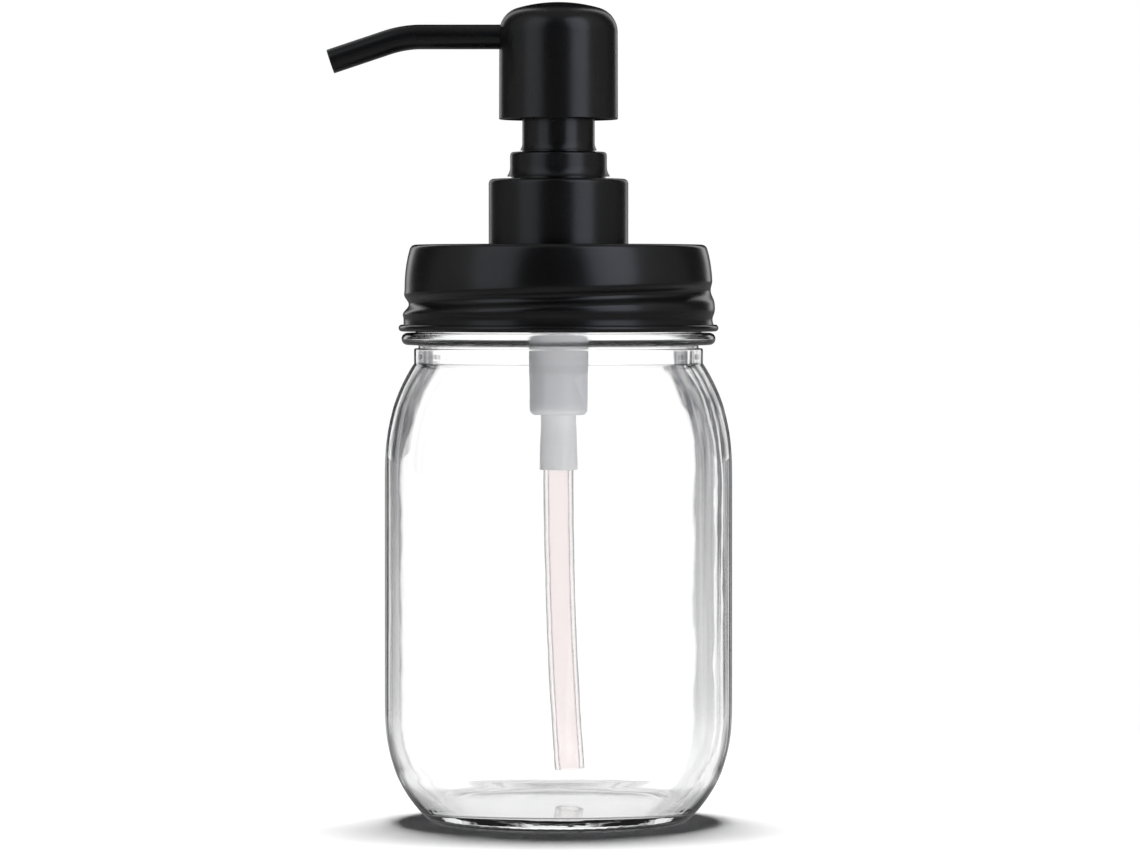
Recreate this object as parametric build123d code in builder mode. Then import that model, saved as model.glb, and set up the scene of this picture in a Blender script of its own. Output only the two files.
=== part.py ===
"""Soap pump dispenser: a glass preserving jar with a metal screw cap and a lotion pump.

Millimetres, +Z up. The origin is on the jar's axis, on the surface that the jar stands on. The
spout points to -X. The pieces are built from the jar upwards, and each one seats on the levels of
the piece below it.
"""

import os
from math import atan2, degrees, radians, sqrt, tan

from build123d import *

# ---------------------------------------------------------------------------------------------
# Driving dimensions
# ---------------------------------------------------------------------------------------------

# Clearances
PRESS_GAP = 0.02  # pieces pressed into each other
RUNNING_GAP = 0.06  # a shaft in its guide, a piston in its bore
SEAT_GAP = 0.15  # faces that close on each other when a thread is done up
TURNING_GAP = 0.3  # pieces that turn freely past each other

# Glass jar
JAR_RADIUS = 40.0
JAR_WALL = 3.0
JAR_FLOOR = 4.2  # glass under the contents, where the inner floor meets the inner heel
JAR_FLOOR_CROWN = 1.2  # rise of the inner floor at its centre
FLOOR_INSET = 1.8  # of the inner floor's edge from the foot's
FOOT_RADIUS = 30.4  # outer edge of the foot
FOOT_BEVEL = 1.6
FOOT_BEVEL_HEIGHT = 0.8
FOOT_LAND_WIDTH = 2.2  # ring that touches the table
FOOT_HOLLOW = 1.6  # how far the underside is pushed up at its centre
HEEL_HEIGHT = 23.2  # where the heel's curve meets the straight wall
SHOULDER_START = 83.0
SHOULDER_TOP = 105.7
NECK_RADIUS = 33.3
NECK_WALL = 3.3
NECK_COLLAR_HEIGHT = 3.6
NECK_GROOVE_DEPTH = 1.0
NECK_GROOVE_HEIGHT = 0.8
NECK_BEAD = 2.9  # how far the bead stands out
NECK_BEAD_HEIGHT = 2.8
FINISH_HEIGHT = 18.1  # from the bead to the rim
RIM_ROUND = 1.1

# Screw cap and its liner, radii from the neck outwards and heights from the hem upwards
LINER_THICKNESS = 1.75
LINER_WIDTH = 5.0
CAP_SHEET = 0.45
CAP_FIT = 0.35  # between the neck and the top of the skirt
CAP_CORNER = 1.2
CAP_BULGE = 1.4
CAP_BULGE_HEIGHT = 10.4
CAP_GROOVE = 0.55
CAP_GROOVE_HEIGHT = 7.3
CAP_BELLY = 2.0
CAP_BELLY_HEIGHT = 4.2
CAP_HEM = 1.65
CAP_HEM_HEIGHT = 2.4
CURL_RADIUS = 0.8  # outer radius of the rolled hem
CURL_TURN = 250.0  # degrees that the hem is rolled through

# Threaded adapter through the cap
ADAPTER_FIT = 0.8  # round the pump housing's cup
ADAPTER_WALL = 1.9
ADAPTER_RISE = 10.8  # above the cap
ADAPTER_FLANGE_WIDTH = 4.2  # beyond the pilot
ADAPTER_FLANGE = 1.6
ADAPTER_PILOT = 1.2  # how far the pilot in the cap's hole stands out beyond the thread
WASHER_THICKNESS = 1.0
GASKET_THICKNESS = 1.2

# Pump housing
HOUSING_FLANGE = 1.2
CUP_RADIUS = 8.7  # bore of the housing's wide upper end
CUP_WALL = 1.2
CUP_DEPTH = 11.8
PUMP_BORE = 5.8
BORE_WALL_TOP = 1.3
BORE_WALL_BOTTOM = 0.9
BORE_SPARE = 4.8  # left between the seat and the cage at the end of the stroke
HOUSING_FLOOR = 0.9  # below the cage, down to the outer step
HOUSING_FOOT_ROUND = 1.0
SOCKET_LENGTH = 12.6
SOCKET_STOP = 2.2  # the dip tube ends this far below the housing's outer step
SOCKET_WALL_TOP = 0.65
SOCKET_WALL_BOTTOM = 1.0
INLET_RADIUS = 1.5
VENT_RADIUS = 0.6
VENT_DEPTH = 4.0  # below the top of the narrow bore

# Dip tube
TUBE_RADIUS = 3.45
TUBE_WALL = 1.0
TUBE_FOOT_HEIGHT = 11.4
TUBE_LEAN = 2.6  # how far the tube's own curve carries its foot to +X

# Inlet valve
BALL_RADIUS = 2.25
BALL_SIDE_GAP = 0.55
BALL_LIFT = 1.4
BALL_SEAT_GAP = 0.04
CAGE_WEB = 1.1
CAGE_SLOT_WIDTH = 1.4
CAGE_SLOT_COUNT = 3

# Spring
SPRING_RADIUS = 4.05  # to the wire's centre
SPRING_WIRE = 0.35  # wire radius
SPRING_TURNS = 8
SPRING_SIDE_GAP = 0.3  # to what it stands on and what guides it

# Piston and its seat
PISTON_LENGTH = 8.0
PISTON_SLEEVE = 0.9
PISTON_LIP = 1.6
PISTON_LIP_EDGE = 0.5
PISTON_TOP_DEPTH = 0.8  # below the top of the narrow bore
PISTON_SLIP = 1.0  # travel of the piston on the stem, which opens the outlet
SEAT_FLANGE = 1.6
SEAT_PILOT_LENGTH = 3.0
SEAT_SPUR_LENGTH = 6.5
SEAT_SPUR_RIB = 1.2

# Stem
STEM_RADIUS = 3.3
STEM_BORE = 2.1
STEM_SHOULDER = 1.3  # how far the shoulder stands out
STEM_SHOULDER_HEIGHT = 3.0
STEM_INSERTION = 13.0  # in the head's post
PORT_RADIUS = 0.9
PORT_HEIGHT = 1.3  # above the stem's lower end

# Closure
CLOSURE_SHEET = 0.5
CLOSURE_CORNER = 1.1
NUT_WALL = 2.28
NUT_WEB = 1.3
NUT_THREAD_GAP = 0.7  # radial room that the two threads fill

# Chaplet, the stepped ring above the closure
CHAPLET_RADIUS = 11.15
CHAPLET_UNDERCUT = 0.3
CHAPLET_NECK_RISE = 0.6  # shows above the closure
CHAPLET_HEIGHT = 5.6
CHAPLET_FLARE = 0.75
CHAPLET_FLARE_HEIGHT = 2.2
CHAPLET_CORNER = 0.8
CHAPLET_PLUG_LENGTH = 8.0

# Bushing that guides the stem, with the turret that shows under the head
BUSHING_WALL = 1.1
GUIDE_LENGTH = 9.0
TURRET_RADIUS = 8.35
TURRET_NECK_RISE = 0.4
TURRET_FLARE = 0.5
TURRET_FLARE_HEIGHT = 1.8

# Head
STROKE = 13.5
STROKE_END_GAP = 0.2  # between the head and the closure at the end of the stroke
HEAD_CLEARANCE = 1.05  # between the chaplet and the inside of the head
HEAD_DRAFT = 0.05  # how much wider the head is at its lower edge
HEAD_HEIGHT = 27.0
HEAD_CORNER = 5.8
HEAD_CROWN = 34.0
HEAD_WALL = 0.7
HEAD_EDGE_ROUND = 0.25
CORE_ROOF = 0.9  # over the spout
CORE_FLOOR = 0.8  # under the spout
CORE_SKIRT = 6.5
CORE_SKIRT_WALL = 1.0
POST_RADIUS = 5.2
POST_CLEARANCE = 0.7  # in the turret
POST_END_GAP = 3.6  # above the guide at the end of the stroke
TURRET_END_GAP = 0.6  # below the core at the end of the stroke

# Spout
SPOUT_RADIUS = 2.85
SPOUT_WALL = 0.7
SPOUT_DEPTH = 8.0  # of its centreline below the head's top
SPOUT_BEND_REACH = 35.6  # from the axis to the corner of its route
SPOUT_REACH = 52.6  # from the axis to the tip
SPOUT_DROOP = 18.5  # degrees
SPOUT_BEND_RADIUS = 25.0
SPOUT_INSERTION = 9.0

# ---------------------------------------------------------------------------------------------
# Radii that follow from a fit
# ---------------------------------------------------------------------------------------------

foot_land_radius = FOOT_RADIUS - FOOT_BEVEL
mouth_radius = NECK_RADIUS - NECK_WALL
bead_radius = NECK_RADIUS + NECK_BEAD

cap_top_radius = NECK_RADIUS + CAP_FIT + CAP_SHEET
liner_radius = cap_top_radius - CAP_SHEET - CAP_CORNER - PRESS_GAP

cup_outer = CUP_RADIUS + CUP_WALL
adapter_bore = cup_outer + ADAPTER_FIT
adapter_radius = adapter_bore + ADAPTER_WALL
pilot_radius = adapter_radius + ADAPTER_PILOT
adapter_flange_radius = pilot_radius + ADAPTER_FLANGE_WIDTH
cap_hole_radius = pilot_radius + TURNING_GAP

nut_bore = adapter_radius + NUT_THREAD_GAP
nut_radius = nut_bore + NUT_WALL
closure_inner = nut_radius + PRESS_GAP
closure_radius = closure_inner + CLOSURE_SHEET
housing_flange_radius = nut_bore - TURNING_GAP
chaplet_neck_radius = CHAPLET_RADIUS - CHAPLET_UNDERCUT
closure_hole_radius = chaplet_neck_radius + TURNING_GAP

turret_cavity = POST_RADIUS + POST_CLEARANCE
bushing_plug_radius = turret_cavity + BUSHING_WALL
head_inner = CHAPLET_RADIUS + CHAPLET_FLARE + HEAD_CLEARANCE
head_radius = head_inner + HEAD_WALL

tube_bore = TUBE_RADIUS - TUBE_WALL

spring_inner = SPRING_RADIUS - SPRING_WIRE
spring_outer = SPRING_RADIUS + SPRING_WIRE
seat_pilot_radius = spring_inner - SPRING_SIDE_GAP
seat_radius = spring_outer + SPRING_SIDE_GAP
chamber_radius = BALL_RADIUS + BALL_SIDE_GAP

# ---------------------------------------------------------------------------------------------
# Levels, from the table upwards
# ---------------------------------------------------------------------------------------------

collar_top = SHOULDER_TOP + NECK_COLLAR_HEIGHT
bead_bottom = collar_top + NECK_GROOVE_HEIGHT
bead_top = bead_bottom + NECK_BEAD_HEIGHT
rim_top = bead_top + FINISH_HEIGHT
cap_bottom = bead_top + TURNING_GAP
cap_under = rim_top + LINER_THICKNESS
cap_top = cap_under + CAP_SHEET
washer_bottom = cap_under - WASHER_THICKNESS
adapter_bottom = washer_bottom - ADAPTER_FLANGE
adapter_top = cap_top + ADAPTER_RISE
housing_flange_bottom = adapter_top + GASKET_THICKNESS
housing_top = housing_flange_bottom + HOUSING_FLANGE

closure_bottom = cap_top + SEAT_GAP
nut_web_bottom = housing_top + SEAT_GAP
closure_top = nut_web_bottom + NUT_WEB + CLOSURE_SHEET
chaplet_ring_bottom = closure_top + CHAPLET_NECK_RISE
chaplet_top = chaplet_ring_bottom + CHAPLET_HEIGHT
turret_bottom = chaplet_top + TURRET_NECK_RISE

# The pump's inside, from the cup downwards
cup_floor = housing_top - CUP_DEPTH
bore_top = cup_floor - (CUP_RADIUS - PUMP_BORE)
piston_top = bore_top - PISTON_TOP_DEPTH
piston_bottom = piston_top - PISTON_LENGTH
seat_bottom = piston_bottom - SEAT_FLANGE
cage_top = seat_bottom - SEAT_PILOT_LENGTH - STROKE - BORE_SPARE
cage_web_bottom = cage_top - CAGE_WEB
ball_centre = cage_web_bottom - BALL_LIFT - BALL_SEAT_GAP - BALL_RADIUS
# The ball rests on a 45 degree cone that widens from the inlet up to the bore's floor.
cone_apex = ball_centre - BALL_RADIUS * sqrt(2) - BALL_SEAT_GAP
cone_bottom = cone_apex + INLET_RADIUS
bore_floor = cone_apex + chamber_radius
housing_step = bore_floor - HOUSING_FLOOR
socket_bottom = housing_step - SOCKET_LENGTH
tube_top = housing_step - SOCKET_STOP

# The stem, the bushing that stops its shoulder, and the head
stem_shoulder_bottom = piston_top + PISTON_SLIP
bushing_bottom = stem_shoulder_bottom + STEM_SHOULDER_HEIGHT + SEAT_GAP
guide_top = bushing_bottom + GUIDE_LENGTH
head_bottom = closure_top + STROKE + STROKE_END_GAP
head_top = head_bottom + HEAD_HEIGHT
spout_level = head_top - SPOUT_DEPTH
core_top = spout_level + SPOUT_RADIUS + CORE_ROOF
core_bottom = spout_level - SPOUT_RADIUS - CORE_FLOOR
post_bottom = guide_top + STROKE + POST_END_GAP
stem_top = post_bottom + STEM_INSERTION
turret_top = core_bottom - STROKE - TURRET_END_GAP

# ---------------------------------------------------------------------------------------------
# Profiles that several pieces share
# ---------------------------------------------------------------------------------------------


def s_curve(start, end):
    """Two arcs that leave start and reach end along the axis."""
    middle = ((start[0] + end[0]) / 2, (start[1] + end[1]) / 2)
    first = TangentArc(start, middle, tangent=(0, end[1] - start[1]))
    return TangentArc(middle, end, tangent=first % 1)


def dome_section(inset):
    """Closed half section of the head's outside, moved inwards by inset."""
    crown, corner = HEAD_CROWN - inset, HEAD_CORNER - inset
    side, apex = head_radius - inset, head_top - inset
    corner_x = side - corner
    crown_z = apex - crown
    corner_z = crown_z + sqrt((crown - corner) ** 2 - corner_x**2)
    tangency = degrees(atan2(corner_z - crown_z, corner_x))
    CenterArc((corner_x, corner_z), corner, 0, tangency)
    CenterArc((0, crown_z), crown, tangency, 90 - tangency)
    Polyline((0, apex), (0, head_bottom), (side + HEAD_DRAFT, head_bottom), (side, corner_z))


def ring(inner, outer, bottom, top):
    """Half section of a plain ring."""
    Polyline((inner, bottom), (outer, bottom), (outer, top), (inner, top), close=True)


# ---------------------------------------------------------------------------------------------
# Jar
# ---------------------------------------------------------------------------------------------

with BuildPart() as glass_jar:
    with BuildSketch(Plane.XZ):
        with BuildLine():
            inner_radius = JAR_RADIUS - JAR_WALL
            floor_radius = FOOT_RADIUS - FLOOR_INSET
            bead_centre = bead_radius - NECK_BEAD_HEIGHT / 2
            groove_radius = NECK_RADIUS - NECK_GROOVE_DEPTH
            land_inner = foot_land_radius - FOOT_LAND_WIDTH
            # Underside and foot
            TangentArc((0, FOOT_HOLLOW), (land_inner, 0), tangent=(1, 0))
            Polyline((land_inner, 0), (foot_land_radius, 0), (FOOT_RADIUS, FOOT_BEVEL_HEIGHT))
            # Heel, wall and shoulder
            TangentArc((JAR_RADIUS, HEEL_HEIGHT), (FOOT_RADIUS, FOOT_BEVEL_HEIGHT), tangent=(0, -1))
            Line((JAR_RADIUS, HEEL_HEIGHT), (JAR_RADIUS, SHOULDER_START))
            TangentArc((JAR_RADIUS, SHOULDER_START), (NECK_RADIUS, SHOULDER_TOP), tangent=(0, 1))
            # Collar, groove and bead below the cap
            Polyline(
                (NECK_RADIUS, SHOULDER_TOP),
                (NECK_RADIUS, collar_top),
                (groove_radius, collar_top),
                (groove_radius, bead_bottom),
                (bead_centre, bead_bottom),
            )
            ThreePointArc(
                (bead_centre, bead_bottom),
                (bead_radius, (bead_bottom + bead_top) / 2),
                (bead_centre, bead_top),
            )
            # Finish and rim
            Polyline(
                (bead_centre, bead_top),
                (NECK_RADIUS, bead_top),
                (NECK_RADIUS, rim_top - RIM_ROUND),
            )
            CenterArc((NECK_RADIUS - RIM_ROUND, rim_top - RIM_ROUND), RIM_ROUND, 0, 90)
            Line((NECK_RADIUS - RIM_ROUND, rim_top), (mouth_radius + RIM_ROUND, rim_top))
            CenterArc((mouth_radius + RIM_ROUND, rim_top - RIM_ROUND), RIM_ROUND, 90, 90)
            # Inside, from the mouth down to the floor
            Line((mouth_radius, rim_top - RIM_ROUND), (mouth_radius, SHOULDER_TOP))
            TangentArc((inner_radius, SHOULDER_START), (mouth_radius, SHOULDER_TOP), tangent=(0, 1))
            Line((inner_radius, SHOULDER_START), (inner_radius, HEEL_HEIGHT))
            TangentArc((inner_radius, HEEL_HEIGHT), (floor_radius, JAR_FLOOR), tangent=(0, -1))
            floor_top = JAR_FLOOR + JAR_FLOOR_CROWN
            TangentArc((0, floor_top), (floor_radius, JAR_FLOOR), tangent=(1, 0))
            Line((0, floor_top), (0, FOOT_HOLLOW))
        make_face()
    revolve(axis=Axis.Z)

# ---------------------------------------------------------------------------------------------
# Cap, liner and threaded adapter
# ---------------------------------------------------------------------------------------------

with BuildPart() as cap_liner:
    with BuildSketch(Plane.XZ):
        with BuildLine():
            ring(liner_radius - LINER_WIDTH, liner_radius, rim_top, cap_under)
        make_face()
    revolve(axis=Axis.Z)

# Pressed from sheet: a flat top, a bulging skirt with a rolled groove over a belly, and a hem
# curled outwards.
with BuildPart() as screw_cap:
    with BuildSketch(Plane.XZ):
        half = CAP_SHEET / 2
        curl_centreline = CURL_RADIUS - half
        curl_level = cap_bottom + CURL_RADIUS
        with BuildLine():
            skirt = cap_top_radius - half
            corner = (skirt, cap_top - half)
            bulge = (skirt + CAP_BULGE, cap_bottom + CAP_BULGE_HEIGHT)
            groove = (skirt + CAP_GROOVE, cap_bottom + CAP_GROOVE_HEIGHT)
            belly = (skirt + CAP_BELLY, cap_bottom + CAP_BELLY_HEIGHT)
            hem = (skirt + CAP_HEM, cap_bottom + CAP_HEM_HEIGHT)
            Line((cap_hole_radius + half, cap_top - half), corner)
            TangentArc(bulge, corner, tangent=(0, 1))
            fillet(vertices().sort_by_distance(corner)[0], CAP_CORNER)
            s_curve(bulge, groove)
            s_curve(groove, belly)
            s_curve(belly, hem)
            Line(hem, (hem[0], curl_level))
            CenterArc((hem[0] + curl_centreline, curl_level), curl_centreline, 180, CURL_TURN)
            offset(amount=half)
        make_face()
    revolve(axis=Axis.Z)

with BuildPart() as adapter_washer:
    with BuildSketch(Plane.XZ):
        with BuildLine():
            ring(pilot_radius + SEAT_GAP, adapter_flange_radius, washer_bottom, cap_under)
        make_face()
    revolve(axis=Axis.Z)

with BuildPart() as neck_adapter:
    with BuildSketch(Plane.XZ):
        with BuildLine():
            Polyline(
                (adapter_bore, adapter_bottom),
                (adapter_flange_radius, adapter_bottom),
                (adapter_flange_radius, washer_bottom),
                (pilot_radius, washer_bottom),
                (pilot_radius, cap_top),
                (adapter_radius, cap_top),
                (adapter_radius, adapter_top),
                (adapter_bore, adapter_top),
                close=True,
            )
        make_face()
    revolve(axis=Axis.Z)

# ---------------------------------------------------------------------------------------------
# Pump housing and what is fixed in it
# ---------------------------------------------------------------------------------------------

with BuildPart() as pump_gasket:
    with BuildSketch(Plane.XZ):
        with BuildLine():
            ring(cup_outer + SEAT_GAP, adapter_radius, adapter_top, housing_flange_bottom)
        make_face()
    revolve(axis=Axis.Z)

with BuildPart() as pump_housing:
    with BuildSketch(Plane.XZ):
        with BuildLine():
            foot_radius = PUMP_BORE + BORE_WALL_BOTTOM
            socket_bore = TUBE_RADIUS + PRESS_GAP
            Polyline(
                (foot_radius, housing_step + HOUSING_FOOT_ROUND),
                (PUMP_BORE + BORE_WALL_TOP, bore_top),
                (cup_outer, cup_floor),
                (cup_outer, housing_flange_bottom),
                (housing_flange_radius, housing_flange_bottom),
                (housing_flange_radius, housing_top),
                (CUP_RADIUS, housing_top),
                (CUP_RADIUS, cup_floor),
                (PUMP_BORE, bore_top),
                (PUMP_BORE, bore_floor),
                (chamber_radius, bore_floor),
                (INLET_RADIUS, cone_bottom),
                (INLET_RADIUS, tube_top),
                (socket_bore, tube_top),
                (socket_bore, socket_bottom),
                (TUBE_RADIUS + SOCKET_WALL_BOTTOM, socket_bottom),
                (TUBE_RADIUS + SOCKET_WALL_TOP, housing_step),
                (foot_radius - HOUSING_FOOT_ROUND, housing_step),
            )
            CenterArc(
                (foot_radius - HOUSING_FOOT_ROUND, housing_step + HOUSING_FOOT_ROUND),
                HOUSING_FOOT_ROUND,
                -90,
                90,
            )
        make_face()
    revolve(axis=Axis.Z)
    # Air hole that opens when the piston goes down
    with BuildSketch(Plane.YZ):
        with Locations((0, bore_top - VENT_DEPTH)):
            Circle(VENT_RADIUS)
    extrude(amount=cup_outer, mode=Mode.SUBTRACT)

with BuildPart() as dip_tube:
    with BuildLine(Plane.XZ) as curve:
        Line((0, tube_top), (0, socket_bottom))
        TangentArc((0, socket_bottom), (TUBE_LEAN, TUBE_FOOT_HEIGHT), tangent=(0, -1))
    with BuildSketch(Plane.XY.offset(tube_top)):
        Circle(TUBE_RADIUS)
        Circle(tube_bore, mode=Mode.SUBTRACT)
    sweep(path=curve.line)

with BuildPart() as inlet_ball:
    with Locations((0, 0, ball_centre)):
        Sphere(BALL_RADIUS)

# The cage keeps the ball over its seat and carries the spring. Slots in its top let the soap past.
with BuildPart() as ball_cage:
    with BuildSketch(Plane.XZ):
        with BuildLine():
            Polyline(
                (chamber_radius, bore_floor),
                (PUMP_BORE - PRESS_GAP, bore_floor),
                (PUMP_BORE - PRESS_GAP, cage_top),
                (0, cage_top),
                (0, cage_web_bottom),
                (chamber_radius, cage_web_bottom),
                close=True,
            )
        make_face()
    revolve(axis=Axis.Z)
    with BuildSketch(Plane.XY.offset(cage_top)):
        with PolarLocations((chamber_radius + CAGE_SLOT_WIDTH / 2) / 2, CAGE_SLOT_COUNT):
            SlotOverall(chamber_radius + CAGE_SLOT_WIDTH / 2, CAGE_SLOT_WIDTH)
    extrude(amount=-CAGE_WEB, mode=Mode.SUBTRACT)

with BuildPart() as chaplet:
    with BuildSketch(Plane.XZ):
        with BuildLine():
            flare_radius = CHAPLET_RADIUS + CHAPLET_FLARE
            plug_radius = CUP_RADIUS - PRESS_GAP
            chaplet_bore = bushing_plug_radius + PRESS_GAP
            Polyline(
                (chaplet_bore, housing_top - CHAPLET_PLUG_LENGTH),
                (plug_radius, housing_top - CHAPLET_PLUG_LENGTH),
                (plug_radius, housing_top),
                (chaplet_neck_radius, housing_top),
                (chaplet_neck_radius, chaplet_ring_bottom),
                (flare_radius, chaplet_ring_bottom),
            )
            TangentArc(
                (CHAPLET_RADIUS, chaplet_ring_bottom + CHAPLET_FLARE_HEIGHT),
                (flare_radius, chaplet_ring_bottom),
                tangent=(0, -1),
            )
            Line(
                (CHAPLET_RADIUS, chaplet_ring_bottom + CHAPLET_FLARE_HEIGHT),
                (CHAPLET_RADIUS, chaplet_top - CHAPLET_CORNER),
            )
            CenterArc(
                (CHAPLET_RADIUS - CHAPLET_CORNER, chaplet_top - CHAPLET_CORNER),
                CHAPLET_CORNER,
                0,
                90,
            )
            Polyline(
                (CHAPLET_RADIUS - CHAPLET_CORNER, chaplet_top),
                (chaplet_bore, chaplet_top),
                (chaplet_bore, housing_top - CHAPLET_PLUG_LENGTH),
            )
        make_face()
    revolve(axis=Axis.Z)

with BuildPart() as stem_bushing:
    with BuildSketch(Plane.XZ):
        with BuildLine():
            guide_radius = STEM_RADIUS + RUNNING_GAP
            turret_flare_radius = TURRET_RADIUS + TURRET_FLARE
            Polyline(
                (guide_radius, bushing_bottom),
                (bushing_plug_radius, bushing_bottom),
                (bushing_plug_radius, chaplet_top),
                (TURRET_RADIUS, chaplet_top),
                (TURRET_RADIUS, turret_bottom),
                (turret_flare_radius, turret_bottom),
            )
            TangentArc(
                (TURRET_RADIUS, turret_bottom + TURRET_FLARE_HEIGHT),
                (turret_flare_radius, turret_bottom),
                tangent=(0, -1),
            )
            Polyline(
                (TURRET_RADIUS, turret_bottom + TURRET_FLARE_HEIGHT),
                (TURRET_RADIUS, turret_top),
                (turret_cavity, turret_top),
                (turret_cavity, guide_top),
                (guide_radius, guide_top),
                (guide_radius, bushing_bottom),
            )
        make_face()
    revolve(axis=Axis.Z)

# ---------------------------------------------------------------------------------------------
# Closure that turns on the housing and screws onto the adapter
# ---------------------------------------------------------------------------------------------

with BuildPart() as closure_shell:
    with BuildSketch(Plane.XZ):
        with BuildLine():
            corner_level = closure_top - CLOSURE_CORNER
            corner_centre = closure_radius - CLOSURE_CORNER
            Polyline(
                (closure_inner, corner_level),
                (closure_inner, closure_bottom),
                (closure_radius, closure_bottom),
                (closure_radius, corner_level),
            )
            CenterArc((corner_centre, corner_level), CLOSURE_CORNER, 0, 90)
            Polyline(
                (corner_centre, closure_top),
                (closure_hole_radius, closure_top),
                (closure_hole_radius, closure_top - CLOSURE_SHEET),
                (corner_centre, closure_top - CLOSURE_SHEET),
            )
            CenterArc((corner_centre, corner_level), CLOSURE_CORNER - CLOSURE_SHEET, 0, 90)
        make_face()
    revolve(axis=Axis.Z)

with BuildPart() as closure_nut:
    with BuildSketch(Plane.XZ):
        with BuildLine():
            nut_top = nut_web_bottom + NUT_WEB - PRESS_GAP
            Polyline(
                (nut_bore, closure_bottom + SEAT_GAP),
                (nut_radius, closure_bottom + SEAT_GAP),
                (nut_radius, nut_top - CLOSURE_CORNER),
                (nut_radius - CLOSURE_CORNER, nut_top),
                (closure_hole_radius, nut_top),
                (closure_hole_radius, nut_web_bottom),
                (nut_bore, nut_web_bottom),
                close=True,
            )
        make_face()
    revolve(axis=Axis.Z)

# ---------------------------------------------------------------------------------------------
# Spring, piston and stem
# ---------------------------------------------------------------------------------------------

with BuildPart() as return_spring:
    wire_clearance = SPRING_WIRE + RUNNING_GAP
    coil_bottom = cage_top + wire_clearance
    coil_height = seat_bottom - wire_clearance - coil_bottom
    with BuildLine() as coil:
        Helix(
            pitch=coil_height / SPRING_TURNS,
            height=coil_height,
            radius=SPRING_RADIUS,
            center=(0, 0, coil_bottom),
        )
    with BuildSketch(Plane(origin=coil.line @ 0, z_dir=coil.line % 0)):
        Circle(SPRING_WIRE)
    sweep(path=coil.line, is_frenet=True)

# Soft piston: a sleeve on the stem with a lip at each end that wipes the bore.
with BuildPart() as piston:
    with BuildSketch(Plane.XZ):
        with BuildLine():
            piston_bore = STEM_RADIUS + RUNNING_GAP
            sleeve_radius = piston_bore + PISTON_SLEEVE
            lip_radius = PUMP_BORE - RUNNING_GAP
            Polyline(
                (piston_bore, piston_bottom),
                (sleeve_radius, piston_bottom),
                (lip_radius, piston_bottom + PISTON_LIP_EDGE),
                (lip_radius, piston_bottom + 2 * PISTON_LIP_EDGE),
                (sleeve_radius, piston_bottom + PISTON_LIP),
                (sleeve_radius, piston_top - PISTON_LIP),
                (lip_radius, piston_top - 2 * PISTON_LIP_EDGE),
                (lip_radius, piston_top - PISTON_LIP_EDGE),
                (sleeve_radius, piston_top),
                (piston_bore, piston_top),
                close=True,
            )
        make_face()
    revolve(axis=Axis.Z)

# Seat that closes the piston from below, with a ribbed spur pressed into the stem.
with BuildPart() as piston_seat:
    with BuildSketch(Plane.XZ):
        with BuildLine():
            Polyline(
                (0, seat_bottom - SEAT_PILOT_LENGTH),
                (seat_pilot_radius, seat_bottom - SEAT_PILOT_LENGTH),
                (seat_pilot_radius, seat_bottom),
                (seat_radius, seat_bottom),
                (seat_radius, piston_bottom),
                (0, piston_bottom),
                close=True,
            )
        make_face()
    revolve(axis=Axis.Z)
    with BuildSketch(Plane.XY.offset(piston_bottom)):
        spur_width = 2 * (STEM_BORE - PRESS_GAP)
        Rectangle(spur_width, SEAT_SPUR_RIB)
        Rectangle(SEAT_SPUR_RIB, spur_width)
        Circle(STEM_BORE - PRESS_GAP, mode=Mode.INTERSECT)
    extrude(amount=SEAT_SPUR_LENGTH)

with BuildPart() as stem:
    with BuildSketch(Plane.XY.offset(piston_bottom)):
        Circle(STEM_RADIUS)
    extrude(amount=stem_top - piston_bottom)
    with BuildSketch(Plane.XY.offset(stem_shoulder_bottom)):
        Circle(STEM_RADIUS + STEM_SHOULDER)
    extrude(amount=STEM_SHOULDER_HEIGHT)
    with BuildSketch(Plane.XY.offset(piston_bottom)):
        Circle(STEM_BORE)
    extrude(amount=stem_top - piston_bottom, mode=Mode.SUBTRACT)
    # Cross ports between the ribs of the seat's spur
    for turn in (45, 135):
        with BuildSketch(Plane.XZ.rotated((0, 0, turn))):
            with Locations((0, piston_bottom + PORT_HEIGHT)):
                Circle(PORT_RADIUS)
        extrude(amount=STEM_RADIUS, both=True, mode=Mode.SUBTRACT)

# ---------------------------------------------------------------------------------------------
# Head and spout
# ---------------------------------------------------------------------------------------------

spout_socket = SPOUT_RADIUS + PRESS_GAP
spout_start = head_radius - SPOUT_INSERTION
tip_drop = (SPOUT_REACH - SPOUT_BEND_REACH) * tan(radians(SPOUT_DROOP))

with BuildPart() as spout_tube:
    with BuildLine() as route:
        FilletPolyline(
            (-spout_start, 0, spout_level),
            (-SPOUT_BEND_REACH, 0, spout_level),
            (-SPOUT_REACH, 0, spout_level - tip_drop),
            radius=SPOUT_BEND_RADIUS,
        )
    with BuildSketch(Plane(origin=route.line @ 0, z_dir=route.line % 0)):
        Circle(SPOUT_RADIUS)
        Circle(SPOUT_RADIUS - SPOUT_WALL, mode=Mode.SUBTRACT)
    sweep(path=route.line)

with BuildPart() as head_shell:
    with BuildSketch(Plane.XZ):
        with BuildLine():
            dome_section(0)
        make_face()
    revolve(axis=Axis.Z)
    with BuildSketch(Plane.XZ):
        with BuildLine():
            dome_section(HEAD_WALL)
        make_face()
    revolve(axis=Axis.Z, mode=Mode.SUBTRACT)
    with BuildSketch(Plane.YZ):
        with Locations((0, spout_level)):
            Circle(spout_socket)
    extrude(amount=-SPOUT_REACH, mode=Mode.SUBTRACT)
    lower_edges = edges().filter_by(GeomType.CIRCLE).group_by(Axis.Z)[0]
    fillet(lower_edges.sort_by(SortBy.RADIUS)[-1], HEAD_EDGE_ROUND)

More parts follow.
